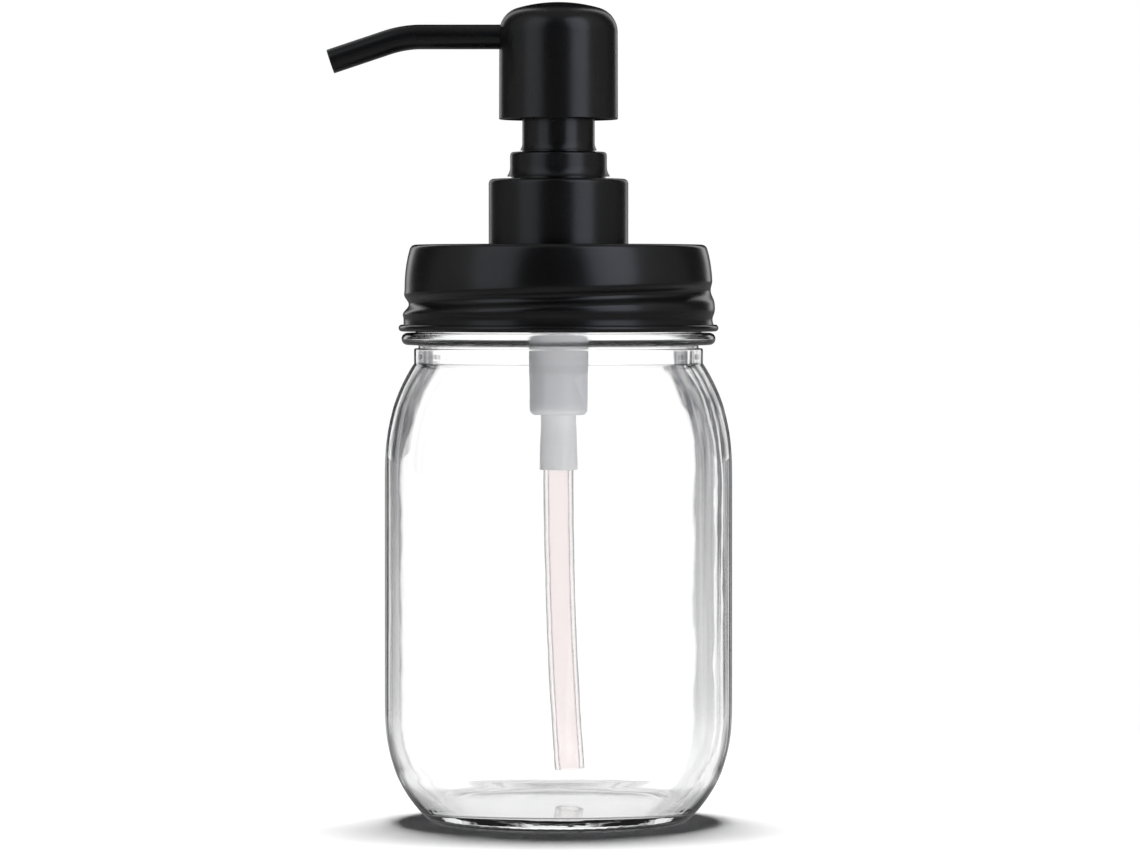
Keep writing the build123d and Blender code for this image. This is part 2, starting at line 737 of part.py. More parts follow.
# Insert that fills the crown: it holds the spout, and its post takes the stem.
with BuildPart() as head_core:
    # Plug that follows the inside of the shell
    with BuildSketch(Plane.XZ):
        with BuildLine():
            dome_section(HEAD_WALL + PRESS_GAP)
        make_face()
    revolve(axis=Axis.Z)
    split(bisect_by=Plane.XY.offset(core_top), keep=Keep.BOTTOM)
    split(bisect_by=Plane.XY.offset(core_bottom - CORE_SKIRT), keep=Keep.TOP)
    with BuildSketch(Plane.XY.offset(core_bottom - CORE_SKIRT)):
        Circle(head_inner - PRESS_GAP - CORE_SKIRT_WALL)
    extrude(amount=CORE_SKIRT, mode=Mode.SUBTRACT)
    with BuildSketch(Plane.XY.offset(post_bottom)):
        Circle(POST_RADIUS)
    extrude(amount=core_bottom - post_bottom)
    # Socket for the stem, and the channel above it
    with BuildSketch(Plane.XY.offset(post_bottom)):
        Circle(STEM_RADIUS + PRESS_GAP)
    extrude(amount=STEM_INSERTION, mode=Mode.SUBTRACT)
    with BuildSketch(Plane.XY.offset(stem_top)):
        Circle(STEM_BORE)
    extrude(amount=spout_level - stem_top, mode=Mode.SUBTRACT)
    # Socket for the spout, and the channel from the axis to it
    with BuildSketch(Plane.YZ.offset(-spout_start)):
        with Locations((0, spout_level)):
            Circle(spout_socket)
    extrude(amount=-head_radius, mode=Mode.SUBTRACT)
    with BuildSketch(Plane.YZ):
        with Locations((0, spout_level)):
            Circle(SPOUT_RADIUS - SPOUT_WALL)
    extrude(amount=-spout_start, mode=Mode.SUBTRACT)

# ---------------------------------------------------------------------------------------------
# One STEP file for each piece
# ---------------------------------------------------------------------------------------------

pieces = {
    "glass_jar": glass_jar,
    "cap_liner": cap_liner,
    "screw_cap": screw_cap,
    "adapter_washer": adapter_washer,
    "neck_adapter": neck_adapter,
    "pump_gasket": pump_gasket,
    "pump_housing": pump_housing,
    "dip_tube": dip_tube,
    "inlet_ball": inlet_ball,
    "ball_cage": ball_cage,
    "chaplet": chaplet,
    "stem_bushing": stem_bushing,
    "closure_shell": closure_shell,
    "closure_nut": closure_nut,
    "return_spring": return_spring,
    "piston": piston,
    "piston_seat": piston_seat,
    "stem": stem,
    "spout_tube": spout_tube,
    "head_shell": head_shell,
    "head_core": head_core,
}

os.makedirs("parts", exist_ok=True)
for name, piece in pieces.items():
    piece.part.label = name
    export_step(piece.part, f"parts/{name}.step")
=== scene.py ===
"""Looks of a soap pump dispenser, made around its packed CAD frame.

The glass jar, the rolled screw cap, the spout, the spring and the closure's threads are made here,
as finer meshes than the frame's. The other pieces keep the frame's meshes and get their finishes
here. Metres, +Z up. The jar stands on the origin, and the spout points to -X.
"""

from math import atan2, cos, pi, radians, sin, tan

import bpy
import numpy as np
from bpy.props import FloatProperty, FloatVectorProperty, IntProperty, PointerProperty
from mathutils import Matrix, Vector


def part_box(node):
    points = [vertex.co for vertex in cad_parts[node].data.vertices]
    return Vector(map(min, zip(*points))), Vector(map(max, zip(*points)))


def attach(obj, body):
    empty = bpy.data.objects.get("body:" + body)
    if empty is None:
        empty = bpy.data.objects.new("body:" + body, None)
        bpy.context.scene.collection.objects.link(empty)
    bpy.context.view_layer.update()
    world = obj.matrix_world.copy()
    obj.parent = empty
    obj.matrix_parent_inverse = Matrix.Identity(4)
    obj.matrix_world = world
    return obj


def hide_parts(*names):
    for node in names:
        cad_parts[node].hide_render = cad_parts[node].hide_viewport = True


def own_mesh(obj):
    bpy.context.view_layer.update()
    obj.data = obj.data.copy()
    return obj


bl_info = {
    "name": "Soap Pump Dispenser",
    "version": (1, 0, 0),
    "blender": (4, 5, 0),
    "location": "View3D > Sidebar > Dispenser",
    "description": "Makes the pieces, finishes and stage of a soap pump dispenser",
    "category": "Add Mesh",
}

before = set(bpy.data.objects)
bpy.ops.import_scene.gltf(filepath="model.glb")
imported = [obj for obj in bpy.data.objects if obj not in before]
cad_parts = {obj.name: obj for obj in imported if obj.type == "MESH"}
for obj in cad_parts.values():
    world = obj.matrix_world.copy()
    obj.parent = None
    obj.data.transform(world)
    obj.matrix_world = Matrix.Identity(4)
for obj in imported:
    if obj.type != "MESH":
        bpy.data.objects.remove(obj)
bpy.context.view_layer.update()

# Lowest and highest corners of the CAD nodes that the pieces made here fit.
JAR_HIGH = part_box("glass_jar")[1]
CAP_LOW, CAP_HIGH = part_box("screw_cap")
SPOUT_LOW, SPOUT_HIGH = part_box("spout_tube")
ADAPTER_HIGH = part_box("neck_adapter")[1]
GASKET_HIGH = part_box("pump_gasket")[1]
HOUSING_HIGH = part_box("pump_housing")[1]
CAGE_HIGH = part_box("ball_cage")[1]
SEAT_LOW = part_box("piston_seat")[0]


# -------------------------------------------------------------------------------------------------
# Sizes and colours that a user would change
# -------------------------------------------------------------------------------------------------


def length(name, description, default):
    """Property for a size in metres."""
    return FloatProperty(
        name=name,
        description=description,
        default=default,
        min=0.0,
        precision=5,
        subtype="DISTANCE",
        unit="LENGTH",
    )


def turn(name, description, default):
    """Property for an angle, with its default in degrees."""
    return FloatProperty(
        name=name,
        description=description,
        default=radians(default),
        subtype="ANGLE",
        unit="ROTATION",
    )


def share(name, description, default):
    """Property for a value from 0 to 1."""
    return FloatProperty(
        name=name,
        description=description,
        default=default,
        min=0.0,
        max=1.0,
        subtype="FACTOR",
    )


def number(name, description, default):
    """Property for a plain number."""
    return FloatProperty(name=name, description=description, default=default, min=0.0)


def colour(name, description, default):
    """Property for a colour."""
    return FloatVectorProperty(
        name=name,
        description=description,
        default=default,
        size=3,
        min=0.0,
        max=1.0,
        subtype="COLOR",
    )


class JarSizes(bpy.types.PropertyGroup):
    """Sizes of the glass jar"""

    radius: length("Radius", "Outer radius of the straight wall", JAR_HIGH.x)
    height: length("Height", "Height of the rim above the table", JAR_HIGH.z)
    wall: length("Wall", "Thickness of the straight wall", 0.003)
    foot_radius: length("Foot radius", "Outer edge of the foot", 0.0304)
    foot_bevel: length("Foot bevel", "Width of the bevel outside the bearing ring", 0.0016)
    foot_rise: length("Foot rise", "Height of that bevel", 0.0008)
    ring_width: length("Bearing ring", "Width of the ring that touches the table", 0.0022)
    hollow: length("Hollow", "Rise of the underside at its centre", 0.0016)
    floor: length("Floor", "Height of the inner floor at its edge", 0.0042)
    floor_inset: length("Floor inset", "Distance of the inner floor's edge from the foot's", 0.0018)
    floor_crown: length("Floor crown", "Rise of the inner floor at its centre", 0.0012)
    heel_height: length("Heel height", "Where the heel's curve meets the wall", 0.0232)
    shoulder_start: length("Shoulder start", "Where the wall turns into the shoulder", 0.083)
    shoulder_top: length("Shoulder top", "Where the shoulder meets the collar", 0.1057)
    neck_radius: length("Neck radius", "Outer radius of the collar and the finish", 0.0333)
    mouth_radius: length("Mouth radius", "Inner radius of the mouth", 0.03)
    collar_height: length("Collar", "Height of the collar under the bead", 0.0036)
    groove: length("Groove", "Depth of the groove between collar and bead", 0.001)
    groove_height: length("Groove height", "Height of that groove", 0.0008)
    bead_radius: length("Bead radius", "Outer radius of the bead", 0.0362)
    bead_height: length("Bead height", "Height of the bead", 0.0028)
    rim_round: length("Rim round", "Rounding of the rim's two edges", 0.0011)
    edge_round: length("Edge round", "Rounding of the other edges", 0.00035)
    easing: length("Easing", "Reach over which the wall runs into its curves", 0.012)
    finish_radius: length("Finish radius", "Outer radius of the finish above the bead", 0.0329)
    thread_depth: length("Thread depth", "How far the screw thread stands out", 0.00065)
    thread_width: length("Thread width", "Width of the screw thread at its root", 0.0028)
    wave: length("Wave", "Unevenness of the inner wall at the two sides", 0.00008)
    seam: length("Mould seam", "How far the two mould seams stand out", 0.00009)
    stipple: length("Stipple", "Depth of the stipple on the foot's bevel", 0.00012)
    stipple_count: IntProperty(
        name="Stipple count", description="Marks of the stipple round the foot", default=72
    )


class CapSizes(bpy.types.PropertyGroup):
    """Sizes of the rolled screw cap"""

    sheet: length("Sheet", "Thickness of the metal sheet", 0.00045)
    top_radius: length("Top radius", "Outer radius at the top of the skirt", 0.0341)
    corner: length("Corner", "Rounding between the top and the skirt", 0.0012)
    hole_radius: length("Hole", "Radius of the hole for the pump", 0.0141)
    flare: length("Flare", "How far the skirt widens down to its thread", 0.0014)
    flare_height: length("Flare height", "Height above the hem where that ends", 0.0102)
    belly: length("Belly", "How far the skirt stands out under its thread", 0.002)
    belly_height: length("Belly height", "Height of the belly above the hem", 0.005)
    neck: length("Neck", "How far the skirt stands out above its curl", 0.00165)
    neck_height: length("Neck height", "Height of that place above the hem", 0.0025)
    curl_radius: length("Curl", "Outer radius of the curled hem", 0.0008)
    curl_turn: turn("Curl turn", "How far round the hem is curled", 250)
    pitch: length("Pitch", "Rise of the thread in one turn", 0.00635)
    thread_depth: length("Thread depth", "Depth of the rolled thread", 0.0015)
    thread_width: length("Thread width", "Width of the rolled thread", 0.005)
    thread_height: length("Thread height", "Height over the hem, away from the spout", 0.0061)
    thread_start: turn("Thread start", "Where the thread leaves the hem", -20)
    thread_turns: number("Thread turns", "Length of the thread in turns", 1.125)
    thread_fade: number("Thread fade", "Turns over which the thread begins and ends", 0.2)


class PumpSizes(bpy.types.PropertyGroup):
    """Sizes of the spout, the spring and the closure's thread"""

    spout_wall: length("Spout wall", "Thickness of the spout's wall", 0.0007)
    spout_corner: length("Spout corner", "Distance of the spout's bend from the axis", 0.0356)
    spout_bend: length("Spout bend", "Radius of the spout's bend", 0.025)
    spout_droop: turn("Spout droop", "Slope of the spout's end", 18.5)
    spout_lip: length("Spout lip", "Rounding of the spout's open end", 0.0002)
    spring_radius: length("Spring radius", "Radius of the spring to the wire's centre", 0.00405)
    spring_wire: length("Spring wire", "Radius of the spring's wire", 0.00035)
    spring_turns: number("Spring turns", "Turns of the spring with its closed ends", 9.5)
    closed_turns: number("Closed turns", "Closed turns at each end of the spring", 1.0)
    seat_pilot: length("Seat pilot", "Length of the seat's pilot inside the spring", 0.003)
    stroke: length("Stroke", "Travel of the head", 0.0135)
    closure_pitch: length("Closure pitch", "Rise of the closure's thread in one turn", 0.00423)
    closure_turns: number("Closure turns", "Turns of the closure's thread", 1.5)
    closure_ridge: length("Closure ridge", "Radius of the thread's rounded ridge", 0.00055)
    closure_gap: length("Closure gap", "Gap between the pump's flange and the nut's bore", 0.0003)
    closure_drop: length("Closure drop", "Height of the adapter's top above its thread", 0.0016)


class Finishes(bpy.types.PropertyGroup):
    """Colours and surfaces of the materials"""

    coat_colour: colour("Powder coat", "Colour of the black powder coat", (0.0026, 0.0026, 0.003))
    coat_roughness: share("Coat roughness", "Roughness of the powder coat", 0.28)
    cap_gloss: share("Cap gloss", "How much less rough the cap is than the powder coat", 0.04)
    coat_grain: length("Coat grain", "Size of the powder coat's fine grain", 0.00045)
    plastic_colour: colour("Black plastic", "Colour of the black plastic", (0.003, 0.003, 0.0034))
    plastic_roughness: share("Plastic roughness", "Roughness of the black plastic", 0.27)
    glass_colour: colour("Glass", "Colour of the glass seen straight on", (0.995, 0.996, 0.996))
    # Painted shade: the dark that the glass's colour turns to in its grey bands and rim.
    glass_edge_painted_shade: colour("Glass edge", "Colour of the glass seen edge on", (0.035, 0.035, 0.042))
    natural_colour: colour("Pump body", "Colour of the translucent pump body", (0.86, 0.86, 0.9))
    socket_top: length("Socket top", "Height below which the pump body turns pale", 0.0965)
    socket_colour: colour("Tube socket", "Colour of the pump body's socket", (0.99, 0.99, 1.0))
    # Painted shade: the dark that the socket's colour turns to where it is seen edge on.
    socket_rim_shade: colour("Socket rim", "Colour of the socket seen edge on", (0.85, 0.85, 0.87))
    tube_colour: colour("Dip tube", "Colour of the dip tube", (0.96, 0.915, 0.91))
    piston_colour: colour("Piston", "Colour of the soft white plastic", (0.86, 0.87, 0.88))
    rubber_colour: colour("Seals", "Colour of the seals", (0.62, 0.63, 0.64))
    steel_colour: colour("Steel", "Colour of the spring and the ball", (0.60, 0.59, 0.57))


class StageSizes(bpy.types.PropertyGroup):
    """Floor, lights and camera"""

    floor_reach: length("Floor reach", "Half of the floor's side", 6.0)
    shadow_start: length("Shadow start", "Where the floor starts to turn plain white", 0.12)
    shadow_reach: length("Shadow reach", "Where the floor has turned plain white", 0.34)
    camera_distance: length("Camera distance", "Distance of the camera in front of the axis", 1.3)
    camera_height: length("Camera height", "Height of the camera above the table", 0.1232)
    camera_side: FloatProperty(
        name="Camera side",
        description="Distance of the camera to the right of the axis",
        default=0.00265,
        subtype="DISTANCE",
        unit="LENGTH",
    )
    camera_tilt: turn("Camera tilt", "How far the camera looks down", 1.418)
    focal_length: number("Focal length", "Focal length in millimetres", 177.9)
    left_turn: turn("Left softbox", "How far the left softbox stands round from the camera", 49)
    right_turn: turn("Right softbox", "How far the right softbox stands round from the camera", 42)
    box_power: number("Softbox power", "Power of the right softbox in watts", 5.8)
    left_share: share("Left share", "Power of the left softbox, as a share of the right's", 0.38)
    box_distance: length("Softbox distance", "Distance of these two from the axis", 1.1)
    box_height: length("Softbox height", "Height of these two above the table", 0.6)
    fill_power: number("Fill power", "Power of the softbox in front in watts", 7.0)
    top_power: number("Top power", "Power of the softbox overhead in watts", 24.5)
    top_back: length("Top back", "How far behind the axis the softbox overhead hangs", 0.22)
    top_height: length("Top height", "Height of the softbox overhead above the table", 1.3)


# -------------------------------------------------------------------------------------------------
# Outlines and meshes
# -------------------------------------------------------------------------------------------------


def tangent_arc(start, end, tangent, steps=24):
    """Points from start to end of the arc that leaves start along tangent."""
    start, end, tangent = (np.array(v, float) for v in (start, end, tangent))
    side = np.array((-tangent[1], tangent[0]))
    chord = end - start
    centre = start + side * (chord @ chord) / (2 * chord @ side)
    spoke = start - centre
    angles = 2 * atan2(chord @ side, chord @ tangent) * np.arange(steps + 1) / steps
    return [
        (
            centre[0] + spoke[0] * cos(a) - spoke[1] * sin(a),
            centre[1] + spoke[0] * sin(a) + spoke[1] * cos(a),
        )
        for a in angles
    ]


def s_curve(start, end, steps=6):
    """Points after start, up to end, of two arcs that leave start and reach end upright."""
    middle = ((start[0] + end[0]) / 2, (start[1] + end[1]) / 2)
    leaving = tangent_arc(start, middle, (0, end[1] - start[1]), steps)[1:]
    arriving = tangent_arc(end, middle, (0, start[1] - end[1]), steps)[-2::-1]
    return [*leaving, *arriving]


def rounded(corners, steps=5):
    """Outline through corners that are (radius, height) or (radius, height, rounding)."""
    outline = []
    for index, corner in enumerate(corners):
        point = np.array(corner[:2], float)
        if len(corner) == 2:
            outline.append(point)
            continue
        before = np.array(corners[index - 1][:2]) - point
        after = np.array(corners[(index + 1) % len(corners)][:2]) - point
        before, after = before / np.linalg.norm(before), after / np.linalg.norm(after)
        half = np.arccos(np.clip(before @ after, -1, 1)) / 2
        reach = corner[2] / tan(half)
        towards = -before
        outline += [
            np.array(p)
            for p in tangent_arc(point + before * reach, point + after * reach, towards, steps)
        ]
    return outline


def divided(outline, step, closed=False):
    """The outline with no stretch longer than step(height)."""
    result = []
    for index, point in enumerate(outline):
        result.append(point)
        if index + 1 == len(outline) and not closed:
            break
        following = outline[(index + 1) % len(outline)]
        parts = int(np.ceil(np.hypot(*(following - point)) / step(point[1])))
        result += [point + (following - point) * k / parts for k in range(1, parts)]
    return result


def eased(outline, low, high, rounds=20):
    """The outline with its curve evened out between two heights."""
    outline = np.array(outline)
    between = (outline[:, 1] > low) & (outline[:, 1] < high)
    for _ in range(rounds):
        evened = np.convolve(outline[:, 0], (0.25, 0.5, 0.25), mode="same")
        outline[between, 0] = evened[between]
    return outline


def upright(radius, height, angle):
    """Places of points that are turned about the vertical axis."""
    return radius * np.cos(angle), radius * np.sin(angle), height


def turned_mesh(name, outline, steps, shape=None, place=upright):
    """Closed mesh of an outline turned in steps about an axis.

    An outline that starts on the axis ends there too, and any other is a closed loop. shape changes
    the radius at each point, and place puts the points in space.
    """
    outline = np.array(outline, float)
    poles = outline[0, 0] < 1e-9
    rings = outline[1:-1] if poles else outline
    angle = np.tile(np.linspace(0, 2 * pi, steps, endpoint=False), (len(rings), 1))
    radius = np.repeat(rings[:, :1], steps, axis=1)
    height = np.repeat(rings[:, 1:], steps, axis=1)
    if shape:
        radius = shape(radius, height, angle)
    points = np.stack(place(radius, height, angle), axis=-1).reshape(-1, 3)
    rows = len(rings) if not poles else len(rings) - 1
    row, column = np.meshgrid(np.arange(rows), np.arange(steps), indexing="ij")
    above, beside = (row + 1) % len(rings), (column + 1) % steps
    corners = (
        row * steps + column,
        row * steps + beside,
        above * steps + beside,
        above * steps + column,
    )
    faces = np.stack(corners, axis=-1).reshape(-1, 4).tolist()
    if poles:
        ends = np.array([(0, 0, outline[0, 1]), (0, 0, outline[-1, 1])])
        first, last = len(points), len(points) + 1
        points = np.vstack((points, ends))
        top = rows * steps
        for column in range(steps):
            beside = (column + 1) % steps
            faces.append((first, beside, column))
            faces.append((last, top + column, top + beside))
    mesh = bpy.data.meshes.new(name)
    mesh.from_pydata(points.tolist(), [], faces)
    mesh.polygons.foreach_set("use_smooth", [True] * len(mesh.polygons))
    mesh.update()
    return mesh


def add_object(name, data):
    """New object of the scene, at the origin."""
    thing = bpy.data.objects.new(name, data)
    bpy.context.scene.collection.objects.link(thing)
    return thing


def add_piece(mesh, material, body, slot, *nodes):
    """Adds the mesh as a piece that rides on body and stands for the nodes."""
    mesh.materials.clear()
    mesh.materials.append(material)
    piece = add_object(mesh.name, mesh)
    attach(piece, body)
    if nodes:
        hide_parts(*nodes)
    return piece


def hump(distance, width):
    """1 at distance 0, falling smoothly to 0 at half of width."""
    inside = np.abs(distance) < width / 2
    return np.where(inside, 0.5 + 0.5 * np.cos(2 * pi * distance / width), 0.0)


def smooth(low, high, value):
    """0 up to low and 1 from high on, with a smooth rise between them."""
    share_done = np.clip((value - low) / (high - low), 0, 1)
    return share_done * share_done * (3 - 2 * share_done)


def screw_thread(height, angle, level, cap, width):
    """How much of the cap's screw thread stands at each point, from 0 to 1.

    level is the thread's height at angle 0.
    """
    pitch, start, turns = cap.pitch, cap.thread_start, cap.thread_turns
    standing = np.zeros_like(height)
    first = np.floor(start / (2 * pi))
    for lap in range(int(first), int(first + turns) + 2):
        along = angle / (2 * pi) + lap
        centre = level + pitch * along
        passed = along - start / (2 * pi)
        ends = smooth(0, cap.thread_fade, passed) * smooth(0, cap.thread_fade, turns - passed)
        standing = np.maximum(standing, ends * hump(height - centre, width))
    return standing


# -------------------------------------------------------------------------------------------------
# Materials
# -------------------------------------------------------------------------------------------------


def add_node(tree, kind, inputs=None, **settings):
    """Node whose inputs are linked where they are given a socket, and set where given a value."""
    node = tree.nodes.new(kind)
    for name, value in settings.items():
        setattr(node, name, value)
    for name, value in (inputs or {}).items():
        if isinstance(value, bpy.types.NodeSocket):
            tree.links.new(value, node.inputs[name])
        else:
            node.inputs[name].default_value = value
    return node


def new_material(name):
    """Material with an empty tree, its output node and object coordinates."""
    material = bpy.data.materials.new(name)
    material.use_nodes = True
    tree = material.node_tree
    tree.nodes.clear()
    output = add_node(tree, "ShaderNodeOutputMaterial")
    place = add_node(tree, "ShaderNodeTexCoord").outputs["Object"]
    return material, tree, output, place


def noise(tree, place, size, detail=2.0, roughness=0.5):
    """Noise whose lumps are about size across."""
    return add_node(
        tree,
        "ShaderNodeTexNoise",
        {"Vector": place, "Scale": 1 / size, "Detail": detail, "Roughness": roughness},
    ).outputs["Fac"]


def mapped(tree, value, low, high, start=0.0, end=1.0, kind="LINEAR"):
    """The value's range from low to high mapped to that from start to end."""
    inputs = {"Value": value, "From Min": low, "From Max": high, "To Min": start, "To Max": end}
    return add_node(tree, "ShaderNodeMapRange", inputs, interpolation_type=kind).outputs["Result"]


def spread(tree, lumps, low, high):
    """Noise, most of which lies from 0.3 to 0.7, spread over low to high."""
    return mapped(tree, lumps, 0.3, 0.7, low, high)


def bump(tree, height, distance, normal=None):
    """Normal of a surface with bumps of that height, on top of another normal if one is given."""
    inputs = {"Height": height, "Distance": distance}
    if normal:
        inputs["Normal"] = normal
    return add_node(tree, "ShaderNodeBump", inputs).outputs["Normal"]


def blend_colours(tree, amount, first, second):
    """Colour between two, each of which is a colour or a socket."""
    ends = [
        end if isinstance(end, bpy.types.NodeSocket) else (*end, 1) for end in (first, second)
    ]
    inputs = {0: amount, 6: ends[0], 7: ends[1]}
    return add_node(tree, "ShaderNodeMix", inputs, data_type="RGBA").outputs[2]


def scalar_nodes(tree):
    """Makers of the tree's Math nodes and of its Map Range nodes with smooth ends."""

    def math(operation, *values):
        inputs = dict(enumerate(values))
        return add_node(tree, "ShaderNodeMath", inputs, operation=operation).outputs[0]

    def ramp(value, low, high, start=0.0, end=1.0):
        return mapped(tree, value, low, high, start, end, "SMOOTHSTEP")

    return math, ramp


def scaled(values, factor):
    """A colour made lighter or darker."""
    return tuple(min(v * factor, 1.0) for v in values)


def height_of(tree, place):
    """Height above the table."""
    return add_node(tree, "ShaderNodeSeparateXYZ", {"Vector": place}).outputs["Z"]


def facing_of(tree):
    """0 where the surface is seen straight on, and 1 where it is seen along itself."""
    return add_node(tree, "ShaderNodeLayerWeight", {"Blend": 0.5}).outputs["Facing"]


def stretched(tree, place, z_scale):
    """Object coordinates with Z scaled, so that noise is drawn out or squeezed along it."""
    return add_node(
        tree, "ShaderNodeMapping", {"Vector": place, "Scale": (1, 1, z_scale)}
    ).outputs["Vector"]


def mix_shaders(tree, amount, first, second):
    """Shader between two."""
    return add_node(
        tree, "ShaderNodeMixShader", {0: amount, 1: first, 2: second}
    ).outputs["Shader"]


def give_surface(tree, output, inputs):
    """Principled shader with these inputs, as the surface that output shows."""
    shader = add_node(tree, "ShaderNodeBsdfPrincipled", inputs)
    tree.links.new(shader.outputs["BSDF"], output.inputs["Surface"])


def black_finish(name, base, roughness, grain, depth):
    """Black satin surface with a fine grain, slow changes of gloss and a faint dusting."""
    material, tree, output, place = new_material(name)
    gloss_change, dusting, patch = 0.025, 1.25, grain * 40
    fine = noise(tree, place, grain, 3)
    broad = noise(tree, place, patch, 2)
    dust = spread(tree, broad, 0, 1)
    give_surface(
        tree,
        output,
        {
            "Base Color": blend_colours(tree, dust, base, scaled(base, dusting)),
            "Roughness": spread(tree, broad, roughness - gloss_change, roughness + gloss_change),
            "Normal": bump(tree, fine, depth),
            "Specular IOR Level": 0.5,
        },
    )
    return material


# Facings over which the glass's painted shade sets in: its grey bands, their streaks, the heel's
# strokes and the rim.
BANDS_FACING, STREAKS_FACING = (0.515, 0.55), (0.74, 0.8)
HEEL_FACING, RIM_FACING = (0.68, 0.78), (0.74, 0.96)
# Facings of the clear lines in the bands, and how far from one of them the grey sets in.
CLEAR_LINES, CLEAR_EDGE = (0.73, 0.82), (0.006, 0.02)
# Heights over which the bands, their even grey, their streaks and the heel's strokes change.
BANDS_RISE, EVEN_RISE = (0.01, 0.035), (0.02, 0.09)
STREAKS_RISE, HEEL_RISE = (0.05, 0.085), (0.02, 0.03)


def glass_painted_shade(tree, place, lines, jar):
    """How much painted shade the glass gets at each point, from 0 to 1.

    The painted shade lies in grey bands where the glass is seen along its surface, with clear lines
    in them and upright streaks in their outer part. It darkens the glass's colour where the
    surround seen through it would be dark.
    """
    math, ramp = scalar_nodes(tree)
    parts = add_node(tree, "ShaderNodeSeparateXYZ", {"Vector": place}).outputs
    height, facing = parts["Z"], facing_of(tree)

    def limited(value, low=0.2, high=0.97):
        return math("MINIMUM", math("MAXIMUM", value, low), high)

    def opposite(value):
        return math("SUBTRACT", 1.0, value)

    # The outer face lies outside the wall's middle, which falls along the shoulder and the heel.
    wall_middle = jar.radius - jar.wall / 2
    shoulder_fall, heel_fall = 13.6, 20.0
    reach = math("POWER", math("ADD", *(math("POWER", parts[n], 2.0) for n in "XY")), 0.5)
    rise = math("SUBTRACT", math("MINIMUM", height, jar.shoulder_top), jar.shoulder_start)
    rise = math("MAXIMUM", rise, 0.0)
    drop = math("MAXIMUM", math("SUBTRACT", jar.heel_height, height), 0.0)
    fall = math("MULTIPLY", math("POWER", rise, 2.0), shoulder_fall)
    fall = math("ADD", fall, math("MULTIPLY", math("POWER", drop, 2.0), heel_fall))
    outside = math("GREATER_THAN", math("ADD", reach, fall), wall_middle)

    # The painted shade reaches further in on the +X side, and at the other side's shoulder.
    right_side, right_reach, left_reach, crookedness = (0.005, 0.03), 0.2, 0.08, -0.1
    right = ramp(parts["X"], *right_side)
    at_shoulder = ramp(height, jar.shoulder_start, jar.shoulder_start + 0.01)
    left_shoulder = math("MULTIPLY", at_shoulder, opposite(right))
    off_shoulder = opposite(left_shoulder)
    turned = math("MULTIPLY_ADD", left_shoulder, left_reach, facing)
    turned = math("MULTIPLY_ADD", right, right_reach, turned)
    crooked = noise(tree, stretched(tree, place, 0.4), 0.006, 3)
    inward = math("MULTIPLY_ADD", crooked, crookedness, turned)

    # An even grey on their inside and streaks on their outside, with clear lines through both.
    contrast, even_contrast, even_level = 5.0, 0.8, 0.56
    streak_level = ramp(height, *STREAKS_RISE, -1.85, -1.65)
    streaks = limited(math("MULTIPLY_ADD", lines, contrast, streak_level))
    even = math("MULTIPLY_ADD", lines, even_contrast, even_level)
    even = math("MULTIPLY", ramp(height, *EVEN_RISE, 0.7, 0.93), even)
    streaked = math("MULTIPLY", ramp(turned, *STREAKS_FACING), off_shoulder)
    tone = math("MULTIPLY_ADD", streaked, math("SUBTRACT", streaks, even), even)
    for middle, strength in zip(CLEAR_LINES, (off_shoulder, 1.0)):
        off_line = math("ABSOLUTE", math("SUBTRACT", inward, middle))
        clear = math("MULTIPLY", ramp(off_line, *CLEAR_EDGE, 1.0, 0.0), strength)
        tone = math("MULTIPLY", tone, opposite(clear))
    band = math("MULTIPLY", ramp(inward, *BANDS_FACING), outside)
    band = math("MULTIPLY", band, ramp(height, *BANDS_RISE, 0.35, 1.0))
    band = math("MULTIPLY", band, tone)

    # Painted shade in strokes round the heel and in a dark rim, and less of all of it in the finish
    # above the collar.
    stroke_level, rim_level, finish_level = -1.4, 0.8, 0.35
    strokes = limited(math("MULTIPLY_ADD", lines, contrast, stroke_level))
    at_heel = math("MULTIPLY", ramp(height, *HEEL_RISE, 1.0, 0.0), ramp(facing, *HEEL_FACING))
    heel = math("MULTIPLY", math("MULTIPLY", at_heel, strokes), outside)
    grey = math("MAXIMUM", band, ramp(facing, *RIM_FACING, 0.0, rim_level))
    grey = math("MAXIMUM", grey, heel)
    collar_top = jar.shoulder_top + jar.collar_height
    finish = ramp(height, collar_top - 0.0008, collar_top + 0.0002, 1.0, finish_level)
    return math("MULTIPLY", grey, finish)


def bead_span(jar):
    """Heights of the bead's lower and upper edges."""
    bottom = jar.shoulder_top + jar.collar_height + jar.groove_height
    return bottom, bottom + jar.bead_height


